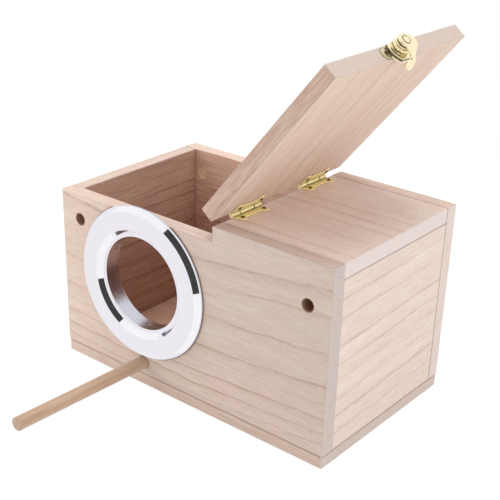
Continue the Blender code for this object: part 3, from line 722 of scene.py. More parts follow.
def dowel_wood(end, inwards):
    """The perch: straight close grain along its length and a sawn end with faint rings."""
    looks = bpy.context.scene.nest_wood
    material, s = new_material("dowel_wood")
    from_end = s.away(s.coordinates(), end)
    x, y, z = (s.dot(from_end, np.array(axis) / mm)
               for axis in (X_AXIS, inwards, X_AXIS.cross(inwards)))
    streak = s.noise((x / 0.9, y / 22, z / 0.9), 3.0, 0.6)
    band = s.noise((x / 2.6 + 4, y / 60, z / 2.6), 2.0)
    pores = s.noise((x / 0.3, y / 4, z / 0.3), 1.0).smooth(0.58, 0.72)
    wood = s.mix(looks.dowel, looks.dowel_line, streak.smooth(0.42, 0.72) * 0.45)
    wood = s.mix(wood, looks.dowel_pale, band.smooth(0.45, 0.7) * 0.5)
    wood = s.mix(wood, looks.dowel_line, pores * 0.35)
    ended = s.dot(s.coordinates("Normal"), inwards).math("ABSOLUTE").smooth(0.6, 0.9)
    rings = (from_axis(x, z + 5) * 4.5 + band * 3).math("SINE") * 0.5 + 0.5
    cut_wood = s.mix(looks.dowel_pale, looks.dowel, rings * 0.6)
    wood = s.mix(wood, s.mix(cut_wood, looks.dowel_line, pores * 0.3), ended * 0.8)
    s.surface(Base_Color=wood, Roughness=streak * 0.2 + 0.42, Specular_IOR_Level=0.3,
              Normal=s.bump(streak * 0.5 - pores, 0.08 * mm, 0.5))
    return material


def turned_aluminium(centre):
    """Aluminium off a lathe: satin face with fine circular cuts, bright turned corners.

    The cuts are noise on the distance from the ring's axis, which changes only slowly
    round the ring, so they run in circles.
    """
    looks = bpy.context.scene.nest_metal
    material, s = new_material("turned_aluminium")
    local = s.node("ShaderNodeMapping", None, {"Vector": s.coordinates(),
                                               "Location": tuple(-Vector(centre) / mm),
                                               "Scale": (1 / mm,) * 3})
    parts = s.node("ShaderNodeSeparateXYZ", None, {0: local})
    x, y, z = parts, parts.output("Y"), parts.output("Z")
    radius, turn = from_axis(x, z), z.math("ARCTAN2", x)
    cuts = s.noise((radius / 0.16, turn * 1.3, y / 0.16), 2.0)
    broad = s.noise((radius / 1.8, turn * 2.0, y / 1.8), 2.0)
    speckle = s.noise((x / 0.5, y / 0.5, z / 0.5), 2.0, 0.6)
    forward = s.dot(s.coordinates("Normal"), -Y)
    frontal = forward.smooth(0.93, 0.99)
    bore = forward.math("ABSOLUTE").math("LESS_THAN", 0.06)
    satin = frontal.math("MAXIMUM", bore * 0.75)
    metal = s.mix(looks.aluminium, looks.speckle, speckle.smooth(0.4, 0.75) * 0.5)
    metal = s.mix(metal, looks.cloud, broad.smooth(0.4, 0.7) * 0.4)
    metal = s.mix(metal, looks.face, frontal, "MULTIPLY")
    metal = s.mix(metal, looks.bore, bore, "MULTIPLY")
    uneven = (broad - 0.5) * 0.04 + (speckle - 0.5) * 0.05
    s.surface(Base_Color=metal, Metallic=1.0,
              Roughness=satin * looks.satin + looks.polish + uneven,
              Normal=s.bump(cuts * 0.7 + speckle * 0.3, 0.02 * mm, satin * 0.35 + 0.06))
    return material


def brass(name, crevices, seed, lustre, tint):
    """Bright stamped brass, darker where it has tarnished, with painted shade in its crevices.

    The crevices are a function that gets the shader and the place in millimetres as a
    vector and gives 1 in a crevice, where shade is painted, and 0 elsewhere. The lustre is how
    metallic it is.
    """
    looks = bpy.context.scene.nest_metal
    material, s = new_material(name)
    place = s.node("ShaderNodeVectorMath", {"operation": "SCALE"},
                   {0: s.coordinates(), "Scale": 1 / mm}, "Vector")
    x, y, z = (s.dot(place, axis) for axis in (X, Y, Z))
    peel = s.noise((x / 1.1 + seed, y / 1.1, z / 1.1), 1.0)
    stain = s.noise((x / 2.7 + seed, y / 2.7, z / 2.7), 3.0, 0.6)
    fine = s.noise((x / 0.22, y / 0.22, z / 0.22 + seed), 1.0)
    metal = s.mix(looks.brass, looks.tarnish, stain.smooth(0.52, 0.78) * 0.25)
    metal = s.mix(metal, tint, 1.0, "MULTIPLY")
    # Painted shade in the crevices.
    dark = crevices(s, place)
    metal = s.mix(metal, looks.painted_crevice_shade, dark)
    s.surface(Base_Color=metal, Metallic=lustre,
              Roughness=stain * 0.10 + fine * 0.04 + 0.06 + dark * 0.3,
              Normal=s.bump(peel * 0.9 + fine * 0.1, 0.04 * mm, 0.25))
    return material


def between(value, low, high, edge=0.12):
    """1 where a value lies between two others, with soft edges."""
    return value.smooth(low - edge, low + edge) * (1 - value.smooth(high - edge, high + edge))


def dull_metal(name, base, roughness):
    """A small fastener's metal, with blotches of oxide."""
    material, s = new_material(name)
    place = s.node("ShaderNodeSeparateXYZ", None, {0: s.coordinates()})
    x, y, z = (value / mm for value in (place, place.output("Y"), place.output("Z")))
    blotch = s.noise((x / 0.7, y / 0.7, z / 0.7), 3.0, 0.6)
    metal = s.mix(base, tuple(0.55 * part for part in base), blotch.smooth(0.4, 0.7))
    s.surface(Base_Color=metal, Metallic=1.0, Roughness=blotch * 0.2 + roughness,
              Normal=s.bump(blotch, 0.03 * mm, 0.4))
    return material


# ---------------------------------------------------------------- pieces

# What turns the brass of the hinges towards yellow, and that of the latch not at all.
HINGE_TINT, LATCH_TINT = (1.04, 0.99, 0.76), (1, 1, 1)


def lid_opening():
    """The turn about the hinge pins that takes the closed lid to its place at rest."""
    pin = middle("front_hinge_pin")
    axis = Vector((pin.x, 0, pin.z))
    turn = Matrix.Rotation(bpy.context.scene.nest_hinge.rest_angle, 4, "Y")
    return Matrix.Translation(axis) @ turn @ Matrix.Translation(-axis)


# Where a hanging hole lies beside the middle and above the base, and its radius, in mm,
# and the colour of the holes' walls in each panel: painted shade on the front, the drilled
# wood's own colour on the back.
HANGING_HOLE = (85, 95, 3.8)
HOLE_WALLS = {"front_panel": "painted_shadow_brown", "back_panel": "drilled"}

# For each board: its grain and face directions, then the heart's place across the face, its
# depth behind the face, the tilt of the grain in degrees and the lines' bow, the growth
# lines as places across the face and strengths, the tint, which is partly the board's own
# tone and partly painted light that lifts or lowers the whole board, the seed and the inner side.
BOARDS = {
    "front_panel": (X, -Y, (140, 70, 0.3, 4e-4),
                    ((100, 0.7), (86, 0.5), (66, 0.7), (46, 0.9), (36, 0.3), (27.5, 0.8),
                     (18.5, 0.95), (11, 0.5)), (0.985, 0.97, 0.965), 0.37, Y),
    "back_panel": (X, Y, (-140, 70, -0.6, 2e-4),
                   ((-98, 0.8), (-84, 0.7), (-71, 0.9), (-57, 0.7), (-45, 0.9), (-31, 0.7),
                    (-20, 0.8)), (1.13, 1.12, 1.11), 2.61, -Y),
    "left_side_panel": (Y, -X, (-140, 70, 0.5, 0),
                        ((-104, 0.7), (-93, 0.9), (-81, 0.6), (-70, 0.9), (-55, 0.7),
                         (-41, 0.9), (-27, 0.7), (-15, 0.8)), (1, 0.99, 0.98), 5.13, X),
    "right_side_panel": (Y, X, (-60, 50, 2.2, 0),
                         ((101, 0.6), (89, 0.6), (73.5, 1.0), (63, 0.6), (54, 0.35), (42, 0.35),
                          (31.5, 0.8), (20, 0.4)), (1.01, 1.02, 1.05), 3.72, -X),
    "roof_board": (X, Z, (100, 70, 0.5, 0),
                   ((4, 0.9), (15, 0.6), (-6, 0.5), (-22, 0.4), (-42, 0.8), (-50, 0.5)),
                   (1.15, 1.175, 1.22), 7.45, None),
    "lid_board": (X, Z, (100, 70, 0.8, 0),
                  ((39, 0.5), (29, 0.6), (18.5, 0.8), (12.5, 0.5), (-5, 0.7), (-20, 0.5),
                   (-35, 0.6), (-50, 0.5), (-58, 0.9)), (0.945, 0.90, 0.855), 9.31, None),
    "base_board": (X, -Z, (-100, 50, 0.3, 0),
                   ((-50, 0.8), (-36, 0.7), (-24, 0.8), (-9, 0.6), (5, 0.8), (22, 0.7),
                    (40, 0.8)), (1, 0.98, 0.97), 11.2, Z),
}


class NESTBOX_OT_boards(Operator):
    """Gives each board its own paulownia, as sawn from its log"""
    bl_idname = "nestbox.boards"
    bl_label = "Boards"

    def execute(self, context):
        for node, (grain, out, *rest) in BOARDS.items():
            if node == "lid_board":
                turn = np.array(lid_opening().to_3x3())
                grain, out = turn @ grain, turn @ out
            paint(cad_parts[node], paulownia(node, grain, out, *rest))
        return {"FINISHED"}


RING_SCREWS = [f"entrance_ring_screw_{i}" for i in (1, 2, 3)]


def ring_place():
    """Where the ring's axis meets the front panel's face, and the ring's radius."""
    low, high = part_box("entrance_ring")
    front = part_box("front_panel")[0].y
    return Vector(((low.x + high.x) / 2, front, (low.z + high.z) / 2)), (high.x - low.x) / 2


def bore_radius():
    """The radius of the ring's opening, with its face and lip outside it."""
    sizes = bpy.context.scene.nest_ring
    return ring_place()[1] - sizes.taper - sizes.face_width - sizes.lip_width


class NESTBOX_OT_ring(Operator):
    """Turns the aluminium entrance ring"""
    bl_idname = "nestbox.ring"
    bl_label = "Entrance ring"

    def execute(self, context):
        sizes, screws = context.scene.nest_ring, context.scene.nest_screw
        centre, outer = ring_place()
        low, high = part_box("entrance_ring")
        stand, end = centre.y - low.y, centre.y - high.y
        face_outer = outer - sizes.taper
        face_inner = face_outer - sizes.face_width
        bore = bore_radius()
        floor = stand - sizes.recess_depth
        sleeve, recess = bore + sizes.wall, face_inner - sizes.recess_taper
        corners = [(outer, sizes.edge), (outer, sizes.seam), (sleeve, sizes.seam), (sleeve, end),
                   (bore, end), (bore, floor), (recess, floor), (face_inner, stand),
                   (face_outer, stand)]
        face, back = sizes.rounding, sizes.sleeve_rounding
        radii = [1.2 * face, back / 2, 0, back, back, face, face, face / 2, face / 2]
        ring = turned("entrance_ring", filleted(corners, radii), sizes.sides,
                      basis(X, Z, -Y, centre), loop=True)
        head, shank = screws.head + screws.play, screws.shank + screws.play
        seat = [(0, -screws.seat_reach), (head, -screws.seat_reach), (head, screws.seat),
                (shank, screws.seat), (shank, 2 * screws.seat_reach), (0, 2 * screws.seat_reach)]
        for node in RING_SCREWS:
            cut(ring, turned("seat", seat, 24, screw_place(node)))
        settle(ring, "box", "entrance_ring", turned_aluminium(centre))
        return {"FINISHED"}


def screw_place(node):
    """A matrix that stands a screw on the bore's wall, pointing out from the ring's axis."""
    centre, spot = ring_place()[0], middle(node)
    centre.y = spot.y
    out = (spot - centre).normalized()
    return along_axis(out, centre + out * bore_radius())


class NESTBOX_OT_ring_screws(Operator):
    """Makes the cross-headed screws that hold the ring's sleeve"""
    bl_idname = "nestbox.ring_screws"
    bl_label = "Ring screws"

    def execute(self, context):
        sizes = context.scene.nest_screw
        material = dull_metal("screw_steel", context.scene.nest_metal.steel, 0.2)
        profile = [(0, sizes.length), (sizes.shank, sizes.length - sizes.point),
                   (sizes.shank, sizes.under), (sizes.head, sizes.under - sizes.ease),
                   (sizes.head, sizes.sink)]
        rows = np.concatenate([turned_rows(profile, 48),
                               crossed_dome(sizes.head - 0.8 * sizes.ease, 48, sizes)])
        for node in RING_SCREWS:
            settle(build(node, rows, screw_place(node)), "box", node, material)
        return {"FINISHED"}


def crossed_dome(radius, sides, sizes):
    """Circles of a low dome that is sunk where either of two crossing slots passes.

    The dome rises with the square of the distance to its rim; the sinking falls off
    smoothly with the distance from the nearer slot's middle line.
    """
    rows = turned_rows([(radius * part, 0) for part in np.linspace(1, 0.02, 12)], sides)
    away = np.hypot(rows[..., 0], rows[..., 1]) / radius
    line = np.minimum(np.abs(rows[..., 0]), np.abs(rows[..., 1])) / radius
    sunk = 1 / (1 + np.exp((line - 0.15) * 40)) / (1 + np.exp((away - 0.62) * 30))
    rows[..., 2] = sizes.dome * away ** 2 + sizes.slot * sunk
    return rows


class NESTBOX_OT_perch(Operator):
    """Turns the dowel perch"""
    bl_idname = "nestbox.perch"
    bl_label = "Perch"

    def execute(self, context):
        sizes = context.scene.nest_perch
        low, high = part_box("perch_dowel")
        radius, ease = sizes.radius, sizes.ease
        inwards = Vector((0, math.cos(sizes.rise), -math.sin(sizes.rise)))
        length = (high.y - low.y - 2 * radius * math.sin(sizes.rise)) / math.cos(sizes.rise)
        steps = np.linspace(ease, length - ease, 60)
        sway = 0.992 + 0.005 * np.sin(steps / (9 * mm)) + 0.003 * np.sin(steps / (3.7 * mm) + 1)
        body = np.column_stack([radius * sway, steps])
        cap = [(0, 0), (radius - ease, 0), (radius - 0.3 * ease, 0.3 * ease)]
        tail = [(around, length - along) for around, along in reversed(cap)]
        profile = np.concatenate([cap, body, tail])
        end = (low + high) / 2 - inwards * length / 2
        place = basis(X_AXIS, inwards.cross(X_AXIS), inwards, end)
        perch = turned("perch_dowel", profile, 64, place)
        settle(perch, "box", "perch_dowel", dowel_wood(end, inwards))
        perch.visible_glossy = False
        return {"FINISHED"}


def lobe(along, centre, reach, radius):
    """How far a round lobe reaches out at places along an edge, nothing outside it."""
    inside = radius ** 2 - (along - centre) ** 2
    return np.where(inside > 0, reach + np.sqrt(np.maximum(inside, 0)), 0)


def leaf_edge(sizes, half):
    """A leaf's scalloped edge as places along the pin and reaches from it.

    The reach is the largest of a straight waist, two ears, their small points and the
    middle lobe.
    """
    along = -half * np.cos(np.linspace(0, math.pi, 181))
    off = np.abs(along)
    reach = np.maximum.reduce([
        np.where(off < half * sizes.ear_share, sizes.waist, sizes.end_reach),
        lobe(off, half * sizes.ear_share, sizes.ear_reach, sizes.ear_radius),
        lobe(off, half * sizes.tip_share, sizes.tip_reach - sizes.tip_radius, sizes.tip_radius),
        lobe(along, 0, sizes.middle_reach, sizes.middle_radius)])
    return along, reach


def leaf(name, sizes, half, spans, side, pin, bottom):
    """A stamped leaf with rolled knuckles, its edges rounded over on top.

    The leaf is a plate whose outline is its scalloped edge and a near edge that stops
    short of the barrel. Each knuckle is a turned tube with rounded rims, joined to the
    leaf by a strip that runs under the barrel.
    """
    along, reach = leaf_edge(sizes, half)
    near = sizes.knuckle + sizes.seam
    outline = np.concatenate([np.column_stack([reach, along]), [(near, half), (near, -half)]])
    t = sizes.thickness
    levels = [(0, 0), (0, t * 0.45), (t * 0.12, t * 0.78), (t * 0.42, t * 0.97), (t * 0.8, t)]
    place = basis(X * side, Y, Z, (pin.x, pin.y, bottom))
    pieces = [build(name, slab_rows(outline, levels), place)]
    bore, outside = sizes.pin + sizes.pin_play, sizes.knuckle
    under, over = (bore + outside) / 2, near + sizes.seam
    rounded, eased = sizes.rim_rounding, sizes.bore_rounding
    for start, end in spans:
        rim = filleted([(outside, start), (bore, start), (bore, end), (outside, end)],
                       [rounded, eased, eased, rounded])
        pieces.append(turned(name, rim, 40, basis(Z, X, Y, pin), loop=True))
        strip = filleted([(under, start), (over, start), (over, end), (under, end)], eased)
        pieces.append(build(name, slab_rows(strip, levels[:2] + [(0, t * 0.9)]), place))
    return joined(name, pieces)


def dome(radius, foot, height, rim, steps):
    """A round head's profile from its top down to its rim, a quarter of an ellipse."""
    turn = np.linspace(0, math.pi / 2, steps)
    return np.column_stack([radius * np.sin(turn),
                            foot + height * (rim + (1 - rim) * np.cos(turn))])


def set_nails(kind, body, places, direction, foot):
    """Round-headed nails: their heads' undersides stand a foot above the wood."""
    sizes = bpy.context.scene.nest_nail
    shank = [(sizes.head, foot), (sizes.shank, foot), (sizes.shank, -sizes.length),
             (0, -sizes.length - sizes.point)]
    head = dome(sizes.head, foot, sizes.height, sizes.rim, 9)
    for i, place in enumerate(places):
        node = f"{kind}_nail_{i + 1}"
        made = turned(node, np.concatenate([head, shank]), 32, along_axis(direction, place))
        settle(made, body, node, bpy.data.materials["nail_bronze"])


def hinge_painted_shade(sizes):
    """Painted shade on the hinges: the dark splits between the knuckles and the dark line where the
    leaves meet them.
    """
    pin = middle("front_hinge_pin") / mm
    low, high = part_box("front_hinge_pin")
    radius = sizes.knuckle / mm
    first, last = ((high.y - low.y) / 2 * sizes.middle_share / mm + side * sizes.split / mm
                   for side in (-1, 1))

    def found(s, place):
        x, y, z = (s.dot(place, axis) for axis in (X, Y, Z))
        away = from_axis(x - pin.x, z - pin.z)
        along = (y.math("ABSOLUTE") - abs(pin.y)).math("ABSOLUTE")
        on_barrel = 1 - away.smooth(radius + 0.1, radius + 0.3)
        beside = between(away, radius + 0.1, radius + 0.3, 0.08) * 0.6
        return (between(along, first, last) * on_barrel).math("MAXIMUM", beside)
    return found


class NESTBOX_OT_hinges(Operator):
    """Stamps the two butterfly hinges with their pins and nails"""
    bl_idname = "nestbox.hinges"
    bl_label = "Hinges"

    def execute(self, context):
        sizes, metals = context.scene.nest_hinge, context.scene.nest_metal
        gold = brass("hinge_brass", hinge_painted_shade(sizes), 0.0, metals.hinge_lustre, HINGE_TINT)
        # The nails' heads are a flat dark brown.
        dull_metal("nail_bronze", metals.nail, 0.3)
        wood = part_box("roof_board")[1].z
        for hinge in ("front_hinge", "rear_hinge"):
            pin = middle(f"{hinge}_pin")
            low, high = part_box(f"{hinge}_pin")
            rim = (high.y - low.y) / 2
            half = rim - sizes.pin_stand
            gap = sizes.seam / 2
            first, last = half * sizes.middle_share - gap, half * sizes.middle_share + gap
            outer, inner = [(-half, -last), (last, half)], [(-first, first)]
            for word, side, spans, body in (("roof", 1, outer, "box"), ("lid", -1, inner, "lid")):
                node = f"{hinge}_{word}_leaf"
                made = leaf(node, sizes, half, spans, side, pin, wood + sizes.seam)
                settle(made, body, node, gold)
            ends = [(0, 0.35 * mm), (0.25 * mm, 0), (sizes.pin, 0)]
            corners = ([(around, inset - rim) for around, inset in ends]
                       + [(around, rim - inset) for around, inset in reversed(ends)])
            end_radii = np.array((0, 0.08, 0.12, 0.12, 0.08, 0)) * mm
            made = turned(f"{hinge}_pin", filleted(corners, end_radii), 32, basis(Z, X, Y, pin))
            settle(made, "box", f"{hinge}_pin", gold)
            for word, side, body in (("roof", 1, "box"), ("lid", -1, "lid")):
                places = [Vector((pin.x + side * sizes.ear_reach,
                                  pin.y + end * half * sizes.ear_share, wood)) for end in (-1, 1)]
                set_nails(f"{hinge}_{word}", body, places, Z, 2 * sizes.seam + sizes.thickness)
        return {"FINISHED"}


def plate_edge(sizes, along, middle_reach):
    """How far a plate's edge stands from its nails' line at places along it."""
    ear = sizes.width / 2 - sizes.ear_radius
    waist = np.where(np.abs(along) < ear, sizes.waist / 2, 0)
    disc = np.minimum(middle_reach, lobe(along, 0, 0, sizes.disc_radius))
    return np.maximum.reduce([waist, lobe(np.abs(along), ear, 0, sizes.ear_radius), disc])


def plate(name, sizes, flip):
    """A latch plate lying flat: a stamped sheet with two ears and a raised middle block.

    The sheet's outline is the largest of a waist, two round ears and a disc cut off level;
    the block is the same disc a step smaller. Both have rounded upper edges.
    """
    half = sizes.width / 2
    along = -half * np.cos(np.linspace(0, math.pi, 121))
    upper = np.column_stack([along, plate_edge(sizes, along, sizes.rise)])
    lower = np.column_stack([along, -plate_edge(sizes, along, sizes.drop)])[-2:0:-1]
    outline = np.concatenate([upper, lower]) * (1, flip)
    t = sizes.thickness
    levels = [(0, 0), (0, t * 0.45), (t * 0.15, t * 0.8), (t * 0.45, t)]
    pieces = [build(name, slab_rows(outline, levels))]
    turn, step = np.linspace(0, 2 * math.pi, 120, endpoint=False), sizes.block_inset
    radius = sizes.disc_radius - step
    up = np.clip(radius * np.sin(turn), step - sizes.drop, sizes.rise - step)
    disc = np.column_stack([radius * np.cos(turn), up * flip])
    top = t + sizes.block_height
    levels = [(0, t * 0.5), (0, top - 0.5 * mm), (0.08 * mm, top - 0.22 * mm),
              (0.25 * mm, top - 0.06 * mm), (0.55 * mm, top)]
    pieces.append(build(name, slab_rows(disc, levels)))
    return pieces


def on_end(pivot):
    """A matrix that stands a flat piece on the box's left end: along is the box's depth."""
    return basis(-Y, Z, -X, pivot)


def latch_heights(sizes):
    """How high the latch's block, boss and neck end and its hook begins and ends."""
    block = sizes.thickness + sizes.block_height
    boss = block + sizes.boss_height
    neck = boss + sizes.neck_height
    return block, boss, neck, neck + sizes.seam, neck + sizes.seam + sizes.hook


def headed(node, sizes, radius, height, foot, shaft, place, dent=0.0):
    """A round-headed shaft whose head stands on a foot, for the rivet and the stud."""
    crown = dome(radius, foot, height, sizes.rim, 12)
    crown[0, 1] -= dent
    profile = np.concatenate([crown, [(radius, foot), (shaft, foot), (shaft, 0), (0, 0)]])
    return turned(node, profile, 64, place)


def ear_nails(kind, body, pivot, sizes):
    """The two nails of a latch plate that lies on a pivot."""
    ear = sizes.width / 2 - sizes.ear_radius
    places = [pivot + Vector((sizes.seam, end * ear, 0)) for end in (-1, 1)]
    set_nails(kind, body, places, -X, 2 * sizes.seam + sizes.thickness)


class NESTBOX_OT_latch(Operator):
    """Makes the latch's plate on the lid, its rivet and its nails"""
    bl_idname = "nestbox.latch"
    bl_label = "Latch plate"

    def execute(self, context):
        sizes, pivot = context.scene.nest_latch, closed_pivot()
        gold = brass("latch_brass", latch_painted_shade(sizes, pivot), 3.0,
                     context.scene.nest_metal.latch_lustre, LATCH_TINT)
        _, shoulder, top, _, front = latch_heights(sizes)
        t = sizes.thickness
        boss = filleted([(0, t), (sizes.boss_radius, t), (sizes.boss_radius, shoulder),
                         (sizes.neck_radius, shoulder), (sizes.neck_radius, top), (0, top)],
                        np.array((0, 0, 0.7, 0.25, 0.35, 0)) * mm)
        pieces = plate("latch_plate", sizes, 1) + [turned("latch_plate", boss, 64)]
        made = joined("latch_plate", pieces)
        made.data.transform(on_end(pivot))
        settle(made, "lid", "latch_plate", gold)
        rivet = headed("latch_rivet", sizes, sizes.head_radius, sizes.head_height,
                       front - sizes.cup_depth + sizes.seam, sizes.rivet, on_end(pivot),
                       sizes.dent)
        settle(rivet, "lid", "latch_rivet", gold)
        ear_nails("latch", "lid", pivot, sizes)
        return {"FINISHED"}


def latch_painted_shade(sizes, pivot):
    """Painted shade on the latch: the dark foot of the raised block, of the boss and of the hook,
    the front side of the cup's wall and the plate's front end.
    """
    opening = lid_opening()
    out = (opening.to_3x3() @ -X_AXIS).normalized()
    foot = (opening @ pivot) / mm
    block, boss, neck = (height / mm for height in latch_heights(sizes)[:3])

    def found(s, place):
        from_foot = s.away(place, foot)
        height, length = s.dot(from_foot, out), s.length(from_foot)
        away = (length * length - height * height).math("SQRT")
        side = 1 - s.dot(s.coordinates("Normal"), out).smooth(0.3, 0.7)
        wall = between(height, sizes.thickness / mm, block - 0.35) * side
        boss_foot = between(height, block - 0.05, block + 0.35) * side
        neck_foot = between(height, boss + 0.7, neck + 0.3) * side
        cup = between(away, sizes.head_radius / mm - 0.15, (sizes.eye_radius - sizes.cup_wall) / mm,
                      0.08) * height.smooth(neck + 0.3, neck + 0.5)
        # The cup's painted shade lies on its front side only; more painted shade lies low over the
        # plate's front end.
        cup = cup * (1 - s.dot(from_foot, Y).smooth(-0.6, 1.2))
        ear = (1 - s.dot(from_foot, Y).smooth(-10, -7)) * 0.3
        dark = wall.math("MAXIMUM", boss_foot).math("MAXIMUM", neck_foot)
        return dark.math("MAXIMUM", cup).math("MAXIMUM", ear * (1 - height.smooth(2, 3))) * 0.9
    return found


def closed_pivot():
    """The latch's pivot with the lid closed, level with the plates' backs.

    The lid's node is at rest, so its middle is turned back about the pins first.
    """
    closing = lid_opening().inverted()
    lid, rivet = (closing @ middle_of_mesh(node) for node in ("lid_board", "latch_rivet"))
    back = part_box("left_side_panel")[0].x - bpy.context.scene.nest_latch.seam
    return Vector((back, rivet.y, lid.z))


# The hook's outline round its pivot as shares of its reach, hanging down when latched.
HOOK_EDGE_SHARES = [(-0.69, 0.76), (-0.56, 0.735), (-0.34, 0.645), (-0.155, 0.52), (-0.03, 0.41),
                    (0.18, 0.28), (0.33, 0.17), (0.34, -0.02), (0.22, -0.15), (0.0, -0.2),
                    (-0.13, 0.0), (-0.14, 0.22), (-0.24, 0.39), (-0.4, 0.48), (-0.6, 0.555),
                    (-0.725, 0.62), (-0.745, 0.7)]


def smooth_loop(points, steps):
    """A closed curve through points.

    Between two points it is a cubic whose slopes follow the points before and after.
    """
    points = np.asarray(points, float)
    before, start, end, after = (np.roll(points, k, 0)[:, None] for k in (1, 0, -1, -2))
    t = np.linspace(0, 1, steps, endpoint=False)[None, :, None]
    bend = (2 * before - 5 * start + 4 * end - after) * t ** 2
    twist = (3 * start - before - 3 * end + after) * t ** 3
    return (start + ((end - before) * t + bend + twist) / 2).reshape(-1, 2)


def slot_outline(sizes):
    """The slot that the stud slides into: a band round the pivot with a round end."""
    half = sizes.stud_radius + sizes.stud_play
    band = np.linspace(sizes.seat_angle, sizes.slot_angle + sizes.slot_over, 24)
    ring = np.column_stack([-np.sin(band), -np.cos(band)])
    seat = ring[0] * sizes.stud_distance
    turn = sizes.seat_angle - math.pi + math.pi * np.arange(1, 20) / 20
    end = seat + half * np.column_stack([-np.sin(turn), -np.cos(turn)])
    return np.concatenate([ring * (sizes.stud_distance + half),
                           (ring * (sizes.stud_distance - half))[::-1], end])


class NESTBOX_OT_hook(Operator):
    """Casts the horn-shaped hook with its cupped eye and slot"""
    bl_idname = "nestbox.hook"
    bl_label = "Latch hook"

    def execute(self, context):
        sizes = context.scene.nest_latch
        thick = sizes.hook
        edge = smooth_loop(HOOK_EDGE_SHARES, 12) * sizes.reach * (1, -1)
        levels = [(0.1 * mm, 0), (0, 0.15 * mm), (0, thick * 0.65), (0.12 * mm, thick * 0.88),
                  (0.35 * mm, thick)]
        hook = build("hook", slab_rows(edge, levels))
        eye = filleted([(0, 0), (sizes.eye_radius, 0), (sizes.eye_radius, thick), (0, thick)],
                       np.array((0, 0.2, 0.45, 0)) * mm)
        cut(hook, turned("eye", eye, 72), "UNION")
        cut(hook, build("slot", slab_rows(slot_outline(sizes), [(0, -mm), (0, thick + mm)])))
        bore, cup = sizes.rivet + sizes.play, sizes.eye_radius - sizes.cup_wall
        well = [(0, -mm), (bore, -mm), (bore, thick - sizes.cup_depth),
                (cup, thick - sizes.cup_depth), (cup, thick + mm), (0, thick + mm)]
        cut(hook, turned("well", well, 64))
        front = Matrix.Translation((0, 0, latch_heights(sizes)[3]))
        hook.data.transform(on_end(closed_pivot()) @ Matrix.Rotation(math.pi, 4, "Z") @ front)
        soften(hook, sizes.soft)
        settle(hook, "hook", "latch_hook", bpy.data.materials["latch_brass"])
        return {"FINISHED"}


class NESTBOX_OT_catch(Operator):
    """Makes the catch's plate on the box, its stud and its nails"""
    bl_idname = "nestbox.catch"
    bl_label = "Catch"

    def execute(self, context):
        sizes, pivot = context.scene.nest_latch, closed_pivot()
        gold = bpy.data.materials["latch_brass"]
        place = Vector((pivot.x, pivot.y, middle("catch_nail_1").z))
        made = joined("catch_plate", plate("catch_plate", sizes, -1))
        made.data.transform(on_end(place))
        settle(made, "box", "catch_plate", gold)
        stud = headed("catch_stud", sizes, sizes.stud_head, sizes.stud_head_height,
                      latch_heights(sizes)[4] + sizes.seam, sizes.stud_radius,
                      on_end(pivot - Z_AXIS * sizes.stud_distance))
        settle(stud, "box", "catch_stud", gold)
        ear_nails("catch", "box", place, sizes)
        return {"FINISHED"}


class NESTBOX_OT_brads(Operator):
    """Sets the small brads that show at the box's corners"""
    bl_idname = "nestbox.brads"
    bl_label = "Brads"

    def execute(self, context):
        sizes = context.scene.nest_brad
        steel = dull_metal("brad_steel", context.scene.nest_metal.brad, 0.35)
        low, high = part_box("front_panel")
        wall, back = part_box("left_side_panel")[1].x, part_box("back_panel")[0].y
        places = {"brad_right": ((high.x, (low.y + high.y) / 2, high.z - sizes.drop), X),
                  "brad_inside": ((wall + sizes.inset, back, sizes.height), -Y)}
        profile = [(0, 0.06 * mm), (0.35 * mm, 0.05 * mm), (sizes.radius, -0.02 * mm),
                   (sizes.radius, -sizes.length), (0, -sizes.length - sizes.radius)]
        for name, (place, direction) in places.items():
            brad = turned(name, profile, 20, along_axis(direction, place))
            paint(brad, steel)
            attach(brad, "box")
        return {"FINISHED"}


# ---------------------------------------------------------------- stage

def lamp(name, place, aim, width, height, watts):
    """A soft oblong lamp that faces a point."""
    light = bpy.data.lights.new(name, "AREA")
    light.shape, light.size, light.size_y, light.energy = "RECTANGLE", width, height, watts
    made = add_object(name, light)
    made.location = place
    made.rotation_euler = (Vector(aim) - Vector(place)).to_track_quat("-Z", "Y").to_euler()
    made.visible_glossy = made.visible_camera = False


def seen_white(s):
    """1 where a camera, glossy or transmission ray looks, else 0."""
    path = s.node("ShaderNodeLightPath")
    return path.output("Is Camera Ray").math("MAXIMUM", path.output("Is Glossy Ray")).math(
        "MAXIMUM", path.output("Is Transmission Ray"))


def only_mirrored(card):
    """Hides a card from all rays but glossy ones, so it only shows in polished metal."""
    for ray in ("camera", "diffuse", "shadow", "transmission", "volume_scatter"):
        setattr(card, f"visible_{ray}", False)


def tent_gap(centre, viewer, sizes):
    """A dark strip on the right that the polished ring shows, seen by glossy rays alone.

    For a turned surface of slope t and place a round the ring, the mirrored line of sight
    is twice the normal times its dot product with the view, less the view. The strip
    follows it for the slopes of the ring's side and recess between two places a.
    """
    turn, slope = np.meshgrid(np.linspace(*sizes.gap_places, 14),
                              np.linspace(*sizes.gap_slopes, 8), indexing="ij")
    normal = np.stack([np.cos(turn) * np.sin(slope), -np.cos(slope),
                       np.sin(turn) * np.sin(slope)], 2)
    view = np.array((Vector(viewer) - Vector(centre)).normalized())
    mirrored = 2 * (normal @ view)[..., None] * normal - view
    rows = np.array(centre) + mirrored * sizes.gap_distance
    count, across = rows.shape[:2]
    index = np.arange(count * across).reshape(count, across)
    quads = np.stack([index[:-1, :-1], index[1:, :-1], index[1:, 1:], index[:-1, 1:]], 2)
    mesh = bpy.data.meshes.new("tent_gap")
    mesh.from_pydata(rows.reshape(-1, 3).tolist(), [], quads.reshape(-1, 4).tolist())
    made = add_object("tent_gap", mesh)
    only_mirrored(made)
    material, s = new_material("tent_gap_dark")
    s.surface(Base_Color=sizes.gap_colour, Roughness=1.0, Specular_IOR_Level=0.0)
    paint(made, material)
    return made


